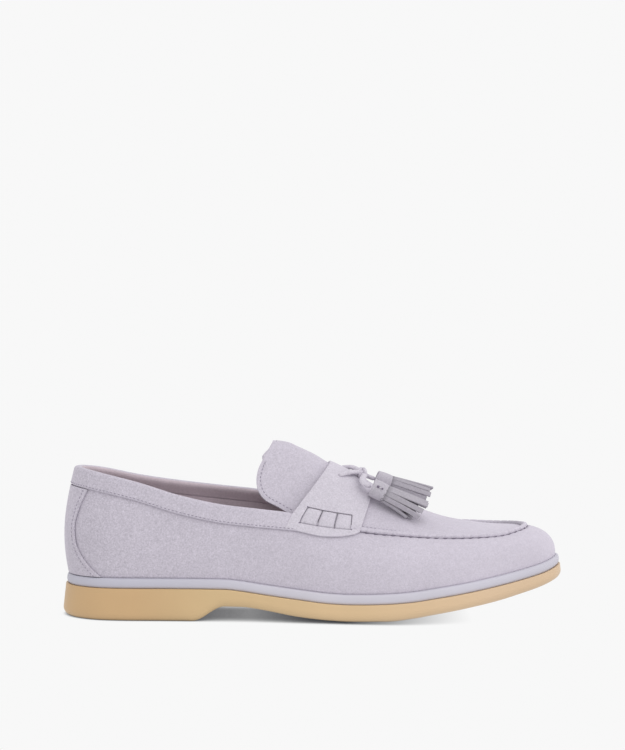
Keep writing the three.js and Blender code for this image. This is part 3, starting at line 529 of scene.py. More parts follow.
def close_ends(mesh):
    bmesh.ops.holes_fill(mesh, edges=[e for e in mesh.edges if e.is_boundary], sides=0)
    bmesh.ops.recalc_face_normals(mesh, faces=mesh.faces)


def link_object(name, data):
    made = bpy.data.objects.new(name, data)
    bpy.context.scene.collection.objects.link(made)
    return made


def add_piece(name, mesh, finishes, replaces=(), smooth_faces=True):
    data = bpy.data.meshes.new(name)
    mesh.to_mesh(data)
    mesh.free()
    for polygon in data.polygons:
        polygon.use_smooth = smooth_faces
    # Pieces without painted shade or tone get a plain layer that leaves the colour as it is
    if "painted_shade_and_tone" not in data.color_attributes:
        plain = data.color_attributes.new("painted_shade_and_tone", "FLOAT_COLOR", "POINT")
        plain.data.foreach_set("color", [1.0] * (4 * len(plain.data)))
    for finish in finishes:
        data.materials.append(finish_of(finish))
    piece = link_object(name, data)
    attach(piece, "root")
    if replaces:
        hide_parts(*replaces)
    return piece


def add_wall(piece, thickness, offset=-1, inside=0):
    wall = piece.modifiers.new("Wall", "SOLIDIFY")
    wall.thickness = thickness * MM
    wall.offset = offset
    wall.use_even_offset = True
    wall.material_offset = inside
    return wall


def add_soft_edge(piece, width, segments=3):
    """Rounds the edges that turn by more than SOFT_EDGE_ANGLE."""
    edge = piece.modifiers.new("Soft edge", "BEVEL")
    edge.width = width * MM
    edge.segments = segments
    edge.limit_method = "ANGLE"
    edge.angle_limit = math.radians(SOFT_EDGE_ANGLE)


def tube_place(path, width, height, up_at=None):
    """Places a closed tube round a path, as a place for bent_grid."""
    count = len(path)
    lengths = lengths_along(path)
    share = [length / lengths[-1] for length in lengths]

    def at(u):
        i = 0
        while i < count - 2 and u > share[i + 1]:
            i += 1
        t = (u - share[i]) / (share[i + 1] - share[i])
        tangent = (path[min(i + 2, count - 1)] - path[max(i - 1, 0)]).normalized()
        here = path[i].lerp(path[i + 1], t)
        return here, tangent

    def place(u, v):
        here, tangent = at(u)
        up = up_at(u) if up_at else Vector((0, 0, 1))
        aside = tangent.cross(up).normalized()
        up = aside.cross(tangent).normalized()
        turn = TURN * v
        ends = 1 - smooth(0.985, 1.0, abs(2 * u - 1)) * 0.35
        return here + (aside * math.cos(turn) * width / 2 + up * math.sin(turn) * height / 2) * ends

    return place


def smooth_path(points, count):
    """Points along a smooth curve through the given ones."""
    curve, length = space_curve(points)
    return [curve(length * i / count) for i in range(count + 1)]


def stitch_row(mesh, path, normals, pitch, length, thick, lift=0.0, slant=0.0):
    """Thread stitches along a path, each one half sunk in the leather."""
    distance, target = 0.0, pitch / 2
    for i in range(len(path) - 1):
        step = (path[i + 1] - path[i]).length
        while distance + step >= target:
            t = (target - distance) / step
            here = path[i].lerp(path[i + 1], t)
            normal = normals[i].lerp(normals[i + 1], t).normalized()
            run = (path[i + 1] - path[i]).normalized()
            run = (Matrix.Rotation(slant, 3, normal) @ run).normalized()
            aside = normal.cross(run).normalized()
            turn = Matrix((run, aside, normal)).transposed().to_4x4()
            scale = Matrix.Diagonal((length / 2, thick / 2, thick / 2, 1))
            matrix = Matrix.Translation((here + normal * lift) * MM) @ turn @ scale @ Matrix.Scale(MM, 4)
            bmesh.ops.create_uvsphere(mesh, u_segments=6, v_segments=5, radius=1.0,
                                      matrix=matrix @ Matrix.Rotation(math.pi / 2, 4, "Y"))
            target += pitch
        distance += step


def one_stitch(mesh, here, run, normal, length, thick):
    """A single stitch, with its middle at a point."""
    stitch_row(mesh, [here - run / 2, here + run / 2], [normal, normal], 1.0, length, thick)


def add_fine_stitches(name, rows):
    """The fine stitches along each row, which is a path and its normals."""
    threads = bmesh.new()
    for path, normals in rows:
        stitch_row(threads, path, normals, sizes().stitch_pitch / MM, sizes().stitch_length / MM,
                   sizes().thread_width / MM)
    add_piece(name, threads, ["suede thread"])


# Materials
def set_inputs(tree, node, inputs):
    """Sets a node's inputs, each to a value or to what another node gives."""
    for key, value in inputs.items():
        if isinstance(value, bpy.types.NodeSocket):
            tree.links.new(value, node.inputs[key])
        else:
            node.inputs[key].default_value = value
    return node


def add_node(tree, kind, inputs):
    return set_inputs(tree, tree.nodes.new(f"ShaderNode{kind}"), inputs)


def new_material(name, inputs):
    material = bpy.data.materials.new(name)
    material.use_nodes = True
    tree = material.node_tree
    shader = set_inputs(tree, tree.nodes["Principled BSDF"], inputs)
    return material, tree, shader, tree.nodes.new("ShaderNodeTexCoord").outputs["Object"]


def noise_node(tree, place, scale, detail=3.0, roughness=0.55):
    inputs = {"Vector": place, "Scale": scale, "Detail": detail, "Roughness": roughness}
    return add_node(tree, "TexNoise", inputs).outputs["Fac"]


def ramp_node(tree, value, stops):
    """A colour for a value, from pairs of a place on its scale and a colour."""
    ramp = add_node(tree, "ValToRGB", {"Fac": value})
    elements = ramp.color_ramp.elements
    while len(elements) < len(stops):
        elements.new(0.5)
    for element, (place, colour) in zip(elements, stops):
        element.position = place
        element.color = (*colour, 1)
    return ramp.outputs["Color"]


def shade_node(tree, value, low, high, dark, light):
    return ramp_node(tree, value, ((low, dark), (high, light)))


def multiply(tree, a, b, amount=1.0):
    node = tree.nodes.new("ShaderNodeMix")
    node.data_type = "RGBA"
    node.blend_type = "MULTIPLY"
    return set_inputs(tree, node, {"Factor": amount, "A": a, "B": b}).outputs["Result"]


def along_shoe(tree, place, low, high, start=-LENGTH / 2, end=LENGTH / 2):
    """A value that goes from low at the start to high at the end, by default from heel to toe."""
    split = add_node(tree, "SeparateXYZ", {"Vector": place})
    span = {"From Min": start * MM, "From Max": end * MM, "To Min": low, "To Max": high}
    return add_node(tree, "MapRange", {"Value": split.outputs["X"], **span}).outputs["Result"]


def tones_along(tree, place, stops):
    """A colour that changes along the shoe, from pairs of a share of its length and a colour."""
    return ramp_node(tree, along_shoe(tree, place, 0.0, 1.0), stops)


def bump(tree, shader, layers):
    """Stacks bumps: each one is a height, its strength and its depth in millimetres."""
    normal = None
    for height, strength, depth in layers:
        node = add_node(tree, "Bump", {"Height": height, "Strength": strength, "Distance": depth * MM})
        if normal:
            tree.links.new(normal, node.inputs["Normal"])
        normal = node.outputs["Normal"]
    tree.links.new(normal, shader.inputs["Normal"])


def tinted(colour, factor):
    return tuple(channel * factor for channel in colour)


def suede(name, colour, nap=1.0):
    material, tree, shader, place = new_material(name, {
        "Roughness": 0.93, "Specular IOR Level": 0.15, "Sheen Weight": 0.35, "Sheen Roughness": 0.45,
        "Sheen Tint": (0.95, 0.92, 1.0, 1)})
    broad = noise_node(tree, place, 30, 2.0, 0.5)
    patches = noise_node(tree, place, 330, 3.0, 0.6)
    clumps = noise_node(tree, place, 1000, 2.0, 0.65)
    fibres = noise_node(tree, place, 1700, 3.0, 0.75)
    tone = shade_node(tree, broad, 0.3, 0.7, tinted(colour, 0.975), tinted(colour, 1.025))
    spots = shade_node(tree, patches, 0.3, 0.7, (0.965, 0.963, 0.967), (1.03, 1.03, 1.03))
    mottle = shade_node(tree, clumps, 0.32, 0.68, (0.84, 0.84, 0.845), (1.13, 1.13, 1.13))
    hairs = shade_node(tree, fibres, 0.32, 0.68, (0.84, 0.84, 0.84), (1.14, 1.14, 1.14))
    rough_nap = along_shoe(tree, place, 1.0, 0.3)
    colour_now = multiply(tree, multiply(tree, tone, spots), hairs, rough_nap)
    colour_now = multiply(tree, colour_now, mottle, rough_nap)
    # Painted light: the suede gets lighter from heel to toe, as the light falls from the toe's side
    light = tones_along(tree, place, [(s, (t, t, t)) for s, t in ((0.1, 0.957), (0.5, 1.0), (0.85, 1.058))])
    colour_now = multiply(tree, colour_now, light)
    # Each piece's painted shade, and the darker tone of some parts, darken the suede's colour
    shade_and_tone_node = tree.nodes.new("ShaderNodeVertexColor")
    shade_and_tone_node.layer_name = "painted_shade_and_tone"
    colour_now = multiply(tree, colour_now, shade_and_tone_node.outputs["Color"])
    tree.links.new(colour_now, shader.inputs["Base Color"])
    bump(tree, shader, [(patches, 0.25 * nap, 0.35), (fibres, 0.5 * nap, 0.12)])
    return material


def rubber(name, colour, roughness, along):
    inputs = {"Roughness": roughness, "Specular IOR Level": 0.4}
    material, tree, shader, place = new_material(name, inputs)
    broad = noise_node(tree, place, 30, 2.0)
    fine = noise_node(tree, place, 1500, 2.0)
    tone = shade_node(tree, broad, 0.3, 0.7, tinted(colour, 0.97), tinted(colour, 1.03))
    # Painted light: the ramp along the shoe makes the rubber darker at the heel, which is turned away from
    # the light, and lighter further forward
    tone = multiply(tree, tone, tones_along(tree, place, along))
    tree.links.new(tone, shader.inputs["Base Color"])
    bump(tree, shader, [(fine, 0.12, 0.05)])
    return material


def lining_leather(name, colour):
    material, tree, shader, place = new_material(name, {"Roughness": 0.7, "Sheen Weight": 0.1})
    grain = noise_node(tree, place, 900, 4.0)
    broad = noise_node(tree, place, 60, 3.0)
    tone = shade_node(tree, broad, 0.3, 0.7, tinted(colour, 0.93), tinted(colour, 1.05))
    spots = shade_node(tree, grain, 0.3, 0.7, (0.9, 0.9, 0.9), (1.05, 1.05, 1.05))
    tree.links.new(multiply(tree, tone, spots), shader.inputs["Base Color"])
    bump(tree, shader, [(grain, 0.35, 0.12)])
    return material


def thread(name, colour):
    material, tree, shader, place = new_material(name, {"Roughness": 0.75})
    twist = noise_node(tree, place, 4000, 1.0)
    tone = shade_node(tree, twist, 0.3, 0.7, tinted(colour, 0.8), tinted(colour, 1.1))
    tree.links.new(tone, shader.inputs["Base Color"])
    return material


def colour_property(label, about, default):
    return bpy.props.FloatVectorProperty(
        name=label, description=about, subtype="COLOR", size=3, min=0, max=1, default=default)


def length_property(label, about, default):
    return bpy.props.FloatProperty(
        name=label, description=about, default=default * MM, min=0, unit="LENGTH", precision=5)


class LoaferLooks(bpy.types.PropertyGroup):
    suede: colour_property("Suede", "Colour of the upper's suede", (0.526, 0.49, 0.557))
    trim: colour_property("Trim", "Colour of the saddle's and tassels' suede", (0.555, 0.522, 0.582))
    lining: colour_property("Lining", "Colour of the lining and insole", (0.53, 0.445, 0.49))
    midsole: colour_property("Midsole", "Colour of the midsole band", (0.49, 0.475, 0.56))
    outsole: colour_property("Outsole", "Colour of the gum outsole", (0.56, 0.385, 0.20))
    thread: colour_property("Thread", "Colour of the stitching", (0.27, 0.24, 0.31))
    # The seam thread's colour also serves for the painted shade deep in the apron seam, in the tassels' holes
    # and at the slots' ends
    dark_thread: colour_property("Seam thread", "Colour of the apron seam's thread", (0.16, 0.13, 0.19))


class LoaferSizes(bpy.types.PropertyGroup):
    stitch_pitch: length_property("Stitch pitch", "Distance from one stitch to the next", 2.4)
    stitch_length: length_property("Stitch length", "Length of one stitch", 1.5)
    thread_width: length_property("Thread width", "Thickness of the thread", 0.5)
    pucker_pitch: length_property("Pucker pitch", "Distance between the apron seam's stitches", 5.2)
    rim_height: length_property("Rim height", "Height of the apron's raised rim", 1.8)


def looks():
    return bpy.context.scene.loafer_looks


def sizes():
    return bpy.context.scene.loafer_sizes


def finish_of(name):
    """One material of each kind, made when it is first used."""
    if name in bpy.data.materials:
        return bpy.data.materials[name]
    makers = {
        "upper suede": lambda: suede(name, looks().suede),
        "trim suede": lambda: suede(name, looks().trim, 0.8),
        "lining leather": lambda: lining_leather(name, looks().lining),
        "midsole rubber": lambda: rubber(name, looks().midsole, 0.5, (
            (0.15, (0.94, 0.95, 0.93)), (0.5, (1.1, 1.09, 1.03)), (0.85, (1.04, 1.04, 1.0)))),
        "gum rubber": lambda: rubber(name, looks().outsole, 0.42, (
            (0.15, (0.94, 0.9, 0.89)), (0.3, (1.01, 1.05, 1.08)), (0.6, (1.11, 1.15, 1.28)),
            (0.85, (1.06, 1.12, 1.4)))),
        "suede thread": lambda: thread(name, looks().thread),
        "dark thread and painted shade": lambda: thread(name, looks().dark_thread),
    }
    return makers[name]()


# The apron seam, which its rim, stitches and puckers share
RIM_FROM = angle_at(SADDLE_FRONT) - 0.045
RIM_STEPS = 640


def seam_path():
    """The apron seam from the saddle round the toe to the saddle, with its inward and upward directions."""
    angles = [mix(RIM_FROM, TURN - RIM_FROM, i / RIM_STEPS) for i in range(RIM_STEPS + 1)]
    rows = []
    for angle in angles:
        run = (top_point(angle + 0.004) - top_point(angle - 0.004)).normalized()
        share = share_at(angle)
        half = max(abs(top_point(angle).y - top_point(-angle).y) / 2, 8)
        slope = min(arch_at(share) * (TONGUE_HEIGHT - SEAM_HEIGHT) * dome_at(share) / half, 1.6)
        inward = -Vector((-run.y, run.x, 0)).normalized() + Vector((0, 0, slope))
        inward = (inward - run * inward.dot(run)).normalized()
        up = inward.cross(run).normalized()
        if up.z < 0:
            up = -up
        rows.append((top_point(angle), inward, up))
    return rows, lengths_along([row[0] for row in rows])


SEAM_ROWS, SEAM_LENGTHS = seam_path()


def seam_at(u):
    i = min(int(u * RIM_STEPS), RIM_STEPS - 1)
    t = u * RIM_STEPS - i
    row, following = SEAM_ROWS[i], SEAM_ROWS[i + 1]
    point, inward, up = (a.lerp(b, t) for a, b in zip(row, following))
    return point, inward, up, mix(SEAM_LENGTHS[i], SEAM_LENGTHS[i + 1], t)


def pinch(length):
    """How far the seam's stitches draw the leather in at a length along it, from 0 to 1."""
    phase = (length / (sizes().pucker_pitch / MM)) % 1
    return hump(phase - 0.5, PINCH_WIDTH)


def seam_length_at(angle):
    turned = angle % TURN
    share = (turned - RIM_FROM) / (TURN - 2 * RIM_FROM)
    if not 0 <= share <= 1:
        return None
    i = min(int(share * RIM_STEPS), RIM_STEPS - 1)
    return mix(SEAM_LENGTHS[i], SEAM_LENGTHS[i + 1], share * RIM_STEPS - i)


def slow_wave(place, size, seed):
    return noise.noise(Vector((place.x / size + seed, place.y / size, place.z / size)))


class LOAFER_OT_upper(bpy.types.Operator):
    """Makes the upper's wall with its lining, and the apron"""

    bl_idname = "loafer.upper"
    bl_label = "Upper"

    def execute(self, context):
        start = angle_at(SADDLE_FRONT) - 0.05
        rear = start / TURN * 0.62

        def wall_angle(u):
            if u < rear:
                return start * u / rear
            if u > 1 - rear:
                return TURN - start * (1 - u) / rear
            return mix(start, TURN - start, (u - rear) / (1 - 2 * rear))

        def wall_girth(angle, v):
            return mix(0, foot_girth(angle) + 0.5, 0.75 * v + 0.25 * v * v)

        def seam_fade(seam):
            """The seam's pull fades out over its last millimetres before the saddle."""
            return smooth(0, SEAM_FADE, min(seam, SEAM_LENGTHS[-1] - seam))

        def wall_place(u, v):
            angle = wall_angle(u)
            girth = wall_girth(angle, v)
            point = skin(angle, girth)
            normal = skin_normal(angle, max(girth, 0.5))
            seam = seam_length_at(angle)
            sink = 0.0
            if seam is not None:
                fade = seam_fade(seam)
                draw = pinch(seam)
                sink -= fade * (SEAM_SINK + PUCKER_SINK * draw) * hump(girth, 1.1)
                sink += fade * 0.16 * (1 - draw) * hump(girth - 2.6, 1.6)
                sink += fade * 0.12 * math.sin(girth * 1.5) * math.exp(-girth / 5.0)
            sink += 0.22 * slow_wave(point, 26, 3.1) * smooth(2, 10, girth)
            return point + normal * sink

        # Painted shade: the wall is darker just below the apron seam, where the rim shades it
        def wall_shade(u, v):
            angle = wall_angle(u)
            seam = seam_length_at(angle)
            if seam is None:
                return 1.0
            return 1 - 0.2 * seam_fade(seam) * math.exp(-wall_girth(angle, v) / 1.1)

        mesh = bent_grid(620, 44, wall_place, wrap=True, shade=wall_shade)
        wall = add_piece("upper", mesh, ["upper suede", "lining leather"],
                         replaces=["upper"])
        add_wall(wall, WALL, inside=1)

        throat = angle_at(THROAT)

        def apron_place(u, v):
            angle = mix(throat, math.pi - 0.004, 1 - (1 - u) ** 1.35)
            across = 2 * v - 1
            side = -1 if across < 0 else 1
            point = arch_line(side * angle)(abs(across))
            lift = 0.25 * slow_wave(point, 30, 7.7) * (1 - across * across)
            return point + Vector((0, 0, lift))

        mesh = bent_grid(150, 60, apron_place)
        apron = add_piece("apron", mesh, ["upper suede", "lining leather"])
        add_wall(apron, WALL, inside=1)
        return {"FINISHED"}


class LOAFER_OT_apron_seam(bpy.types.Operator):
    """Makes the apron's raised rim and the thread that gathers it"""

    bl_idname = "loafer.apron_seam"
    bl_label = "Apron seam"

    def execute(self, context):
        tall = sizes().rim_height / MM
        profile = ((-0.35, -1.0), (-0.5, 0.1), (-0.42, 0.65), (-0.12, 0.92), (0.6, 1.0), (1.5, 0.98),
                   (2.3, 0.82), (2.95, 0.42), (3.2, 0.02), (3.55, -0.12), (4.1, 0.0), (4.3, -0.6),
                   (2.5, -1.0), (1.0, -1.0))
        count = len(profile)

        def rim_place(u, v):
            point, inward, up, length = seam_at(u)
            k = v * count
            i = int(k) % count
            t = k - int(k)
            a, b = profile[i], profile[(i + 1) % count]
            inset, rise = mix(a[0], b[0], t), mix(a[1], b[1], t)
            draw = pinch(length)
            if rise > 0:
                outer_edge = hump(inset + 0.4, 1.0)
                inset += 0.42 * draw * outer_edge
                rise -= 0.16 * draw * hump(inset, 1.6)
                rise -= 0.1 * hump(inset - 2.6, 0.7) * draw
            wander = 0.12 * noise.noise(Vector((length / 9.0, 0.3, 0.7)))
            if rise > 0:
                rise += 0.045 * noise.noise(Vector((length / 1.5, inset / 4.0, 2.1)))
            return point + inward * (inset + wander) + up * rise * tall

        def rim_shade(u, v):
            """The far side of the rim, where it looks down on the apron, is in shade."""
            facing_in = smooth(4, 6, v * count) * (1 - smooth(9, 11, v * count))
            return 1 - 0.3 * facing_in * smooth(0.22, 0.4, u) * (1 - smooth(0.5, 0.56, u))

        mesh = bent_grid(560, 2 * count, rim_place, wrap=True, shade=rim_shade)
        close_ends(mesh)
        add_piece("apron_rim", mesh, ["upper suede"])

        threads = bmesh.new()
        pitch = sizes().pucker_pitch / MM
        path = [p + i * (-0.42) + n * 0.05 for p, i, n in SEAM_ROWS]
        normals = [(n - i * 0.9).normalized() for p, i, n in SEAM_ROWS]
        stitch_row(threads, path, normals, pitch, *SEAM_STITCH, lift=0.1, slant=SEAM_STITCH_SLANT)
        add_piece("seam_stitches", threads, ["dark thread and painted shade"])

        # A dark line deep in the seam: the seam's thread, and painted shade in the crease between the rim and
        # the wall, wider at each pucker
        def seam_thread_and_shade_place(u, v):
            point, inward, up, length = seam_at(u)
            turn = TURN * v
            draw = pinch(length)
            broken = 0.6 + 0.8 * noise.noise(Vector((length / 1.7, 0.4, 3.3)))
            half = clamp(0.07 + 0.1 * broken + 0.16 * draw, 0.05, 0.34)
            centre = point - inward * (0.44 + 0.2 * draw) + up * (0.1 - 0.24 * draw)
            return centre + inward * (half * math.cos(turn)) + up * (half * math.sin(turn))

        seam_thread_and_shade_tube = bent_grid(560, 6, seam_thread_and_shade_place, wrap=True)
        close_ends(seam_thread_and_shade_tube)
        add_piece("seam_thread_and_shade", seam_thread_and_shade_tube, ["dark thread and painted shade"])

        path = [p + i * RIM_STITCH_IN + n * 0.05 for p, i, n in SEAM_ROWS]
        add_fine_stitches("rim_stitches", [(path, [n for p, i, n in SEAM_ROWS])])
        return {"FINISHED"}


class LOAFER_OT_collar(bpy.types.Operator):
    """Makes the folded strip round the collar, with its row of stitches"""

    bl_idname = "loafer.collar"
    bl_label = "Collar strip"

    def execute(self, context):
        end = angle_at(SADDLE_BACK) - 0.005
        tucked = end + 0.15
        legs = (0.12, 0.3, 0.6, 0.87, 0.97)
        lining_legs = ((7.0, 0.3), (5.0, 0.7), (COLLAR_INSIDE, 1.1), (1.8, 1.45))

        def width(angle):
            return COLLAR_WIDTH - 1.8 * smooth(end, tucked, abs(angle))

        def thick_at(angle, girth):
            """Full up to the saddle's back edge, and thin where the saddle covers it."""
            covered = mix(GAP + OVERLAY, 2 * GAP, smooth(end - 0.004, end + 0.022, abs(angle)))
            shown = mix(GAP + OVERLAY, 2 * GAP, smooth(end + 0.01, tucked, abs(angle)))
            return mix(covered, shown, smooth(6, 8, girth))

        def lean(angle, girth):
            return math.copysign(min(abs(angle) / end, 1) ** 13, angle) * saddle_lean(0, girth)

        def section(angle):
            thick = thick_at(angle, 0)
            wide = width(angle)
            top = skin(angle, 0)
            normal = skin_normal(angle, 0.8)
            down = (skin(angle, 1.2) - top).normalized()

            def at(out, drop):
                return top + normal * out + down * drop

            def leg(girth, out):
                return over_skin(angle - lean(angle, girth), girth, out)

            inner = -WALL - thick
            rolled = [over_skin(angle, g, -WALL - min(out, thick)) for g, out in lining_legs]
            rolled += [at(inner, 0.6), at(inner + 0.2 * thick, -0.4 * thick),
                      at(inner + 0.8 * thick, -0.9 * thick), at(-0.5 * WALL, -thick),
                      at(0.25 * thick, -0.85 * thick), at(0.8 * thick, -0.4 * thick), at(thick, 0.4)]
            outer = [leg(s * wide, thick_at(angle, s * wide)) for s in legs]
            hem_thick = thick_at(angle, wide)
            fold = [leg(wide, 0.75 * hem_thick), leg(wide + 0.1, 0.45 * hem_thick)]
            back = [leg(s * wide, 0.5 * GAP) for s in reversed(legs)]
            back += [at(0.5 * GAP, 0.2), at(-0.5 * WALL, -0.5 * GAP), at(-WALL - 0.5 * GAP, 0.2),
                     over_skin(angle, COLLAR_INSIDE, -WALL - 0.5 * GAP), over_skin(angle, 7.0, -WALL - 0.1)]
            return rolled + outer + fold + back

        sections = {}

        def place(u, v):
            if u not in sections:
                loop = section(mix(-tucked, tucked, u))
                sections[u] = loop + [loop[0]]
            loop = sections[u]
            k = v * (len(loop) - 1)
            i = min(int(k), len(loop) - 2)
            return loop[i].lerp(loop[i + 1], k - i)

        rows = len(section(0.1))
        mesh = bent_grid(360, rows, place, wrap=True)
        along = mesh.loops.layers.uv["along"]
        for face in mesh.faces:
            face.material_index = int(max(loop[along].uv.y for loop in face.loops) * rows < 6.5)
        close_ends(mesh)
        strip = add_piece("collar_strip", mesh, ["upper suede", "lining leather"],
                          replaces=["collar_strip"])
        edge = strip.modifiers.new("Smooth", "SUBSURF")
        edge.levels = edge.render_levels = 1

        angles = [mix(-end - 0.06, end + 0.06, i / 400) for i in range(401)]
        path = []
        for angle in angles:
            girth = width(angle) - COLLAR_STITCH_IN
            path.append(over_skin(angle - lean(angle, girth), girth, thick_at(angle, girth)))
        normals = [skin_normal(angle, COLLAR_WIDTH - 1.5) for angle in angles]
        add_fine_stitches("collar_stitches", [(path, normals)])
        return {"FINISHED"}


class LOAFER_OT_counter(bpy.types.Operator):
    """Makes the waisted strip on the back of the heel, with its stitches"""

    bl_idname = "loafer.counter"
    bl_label = "Heel counter"

    def execute(self, context):
        low, high = 0.5 * GAP, 1.8 * GAP + 0.7 * OVERLAY
        top = COLLAR_WIDTH + 2 * GAP

        def at(across, down, height):
            angle = across * counter_round(down)
            girth = mix(top, foot_girth(angle) - GAP, down)
            return over_skin(angle, girth, height)

        mesh = bent_grid(60, 60, lambda u, v: at(2 * u - 1, v, low))
        strip = add_piece("heel_counter", mesh, ["upper suede"], replaces=["heel_counter"])
        add_wall(strip, high - low, offset=1)
        add_soft_edge(strip, 0.35)

        rows = []
        for side in (-1, 1):
            path = [at(side * COUNTER_STITCH_AT, i / 80, high) for i in range(81)]
            normals = [skin_normal(side * COUNTER_STITCH_AT * counter_round(i / 80),
                                   mix(top, foot_girth(0.3) - GAP, i / 80)) for i in range(81)]
            rows.append((path, normals))
        add_fine_stitches("counter_stitches", rows)
        return {"FINISHED"}


class TongueShape:
    """The tongue's surface, by t from under the saddle (0) to its tip (1) and s across it."""

    def __init__(self):
        lines = []
        for along, dip in TONGUE_ROOT:
            share = mix(THROAT, SADDLE_BACK, along)
            room = WALL + 2 * GAP + (OVERLAY + GAP if along == 1 else 0)
            reach = 1 - room / top_point(angle_at(share)).y
            inner, outer = arch_line(angle_at(share)), arch_line(-angle_at(share))

            def root(s, reach=reach, inner=inner, outer=outer, dip=dip):
                line = outer if s < 0 else inner
                point, sunk = line(abs(s) * reach), line(abs(s))
                return Vector((mix(point.x, sunk.x, dip), point.y, mix(point.z, sunk.z, dip)))

            lines.append(root)
        for crest, crest_high, foot, foot_high, half, reach in TONGUE:
            def free(s, row=(crest, crest_high, foot, foot_high, half, reach)):
                crest, crest_high, foot, foot_high, half, reach = row
                fall = abs(s * reach) ** APRON_ARCH[0]
                return Vector((LENGTH * (mix(crest, foot, fall) - 0.5), BALL_WIDTH / 2 * half * reach * s,
                               mix(TONGUE_HEIGHT * crest_high, BACK_HEIGHT * foot_high, fall)))
            lines.append(free)
        self.lines = lines
        self.columns = {}

    def __call__(self, t, s):
        if s not in self.columns:
            self.columns[s] = space_curve([line(s) for line in self.lines])
        curve, length = self.columns[s]
        return curve(length * t)

    def normal(self, t, s):
        ahead = self(clamp(t - 0.01), s) - self(clamp(t + 0.01), s)
        aside = self(t, s + 0.02) - self(t, s - 0.02)
        return ahead.cross(aside).normalized()


class LOAFER_OT_tongue(bpy.types.Operator):
    """Makes the tongue with its lining and edge stitches"""

    bl_idname = "loafer.tongue"
    bl_label = "Tongue"

    def execute(self, context):
        shape = TongueShape()

        def place(u, v):
            point = shape(1 - u, 2 * v - 1)
            inner = max(2 * v - 1, 0) ** 2 * smooth(0.45, 1, 1 - u)
            return point + Vector((4.2 * inner, 0, 0.3 * slow_wave(point, 22, 1.3) - 2.4 * inner))

        mesh = bent_grid(90, 60, place)
        tongue = add_piece("tongue", mesh, ["upper suede", "lining leather"],
                           replaces=["tongue"])
        add_wall(tongue, WALL, inside=1).use_even_offset = False
        add_soft_edge(tongue, 0.7, 4)

        ring = [(mix(0.3, 1, i / 80), -1) for i in range(80)]
        ring += [(1, mix(-1, 1, i / 60)) for i in range(60)]
        ring += [(mix(1, 0.3, i / 80), 1) for i in range(81)]
        edge = [place(1 - t, (s + 1) / 2) for t, s in ring]
        normals = [shape.normal(t, s * 0.98) for t, s in ring]
        middle = shape(0.6, 0)
        moved = []
        for i, (point, normal) in enumerate(zip(edge, normals)):
            run = edge[min(i + 3, len(edge) - 1)] - edge[max(i - 3, 0)]
            inward = normal.cross(run).normalized()
            if inward.dot(middle - point) < 0:
                inward = -inward
            moved.append(point + inward * TONGUE_STITCH_IN + normal * 0.05)
        path = []
        for i in range(len(moved)):
            near = moved[max(i - 5, 0):i + 6]
            path.append(sum(near, Vector()) / len(near))
        add_fine_stitches("tongue_stitches", [(path, normals)])
        return {"FINISHED"}


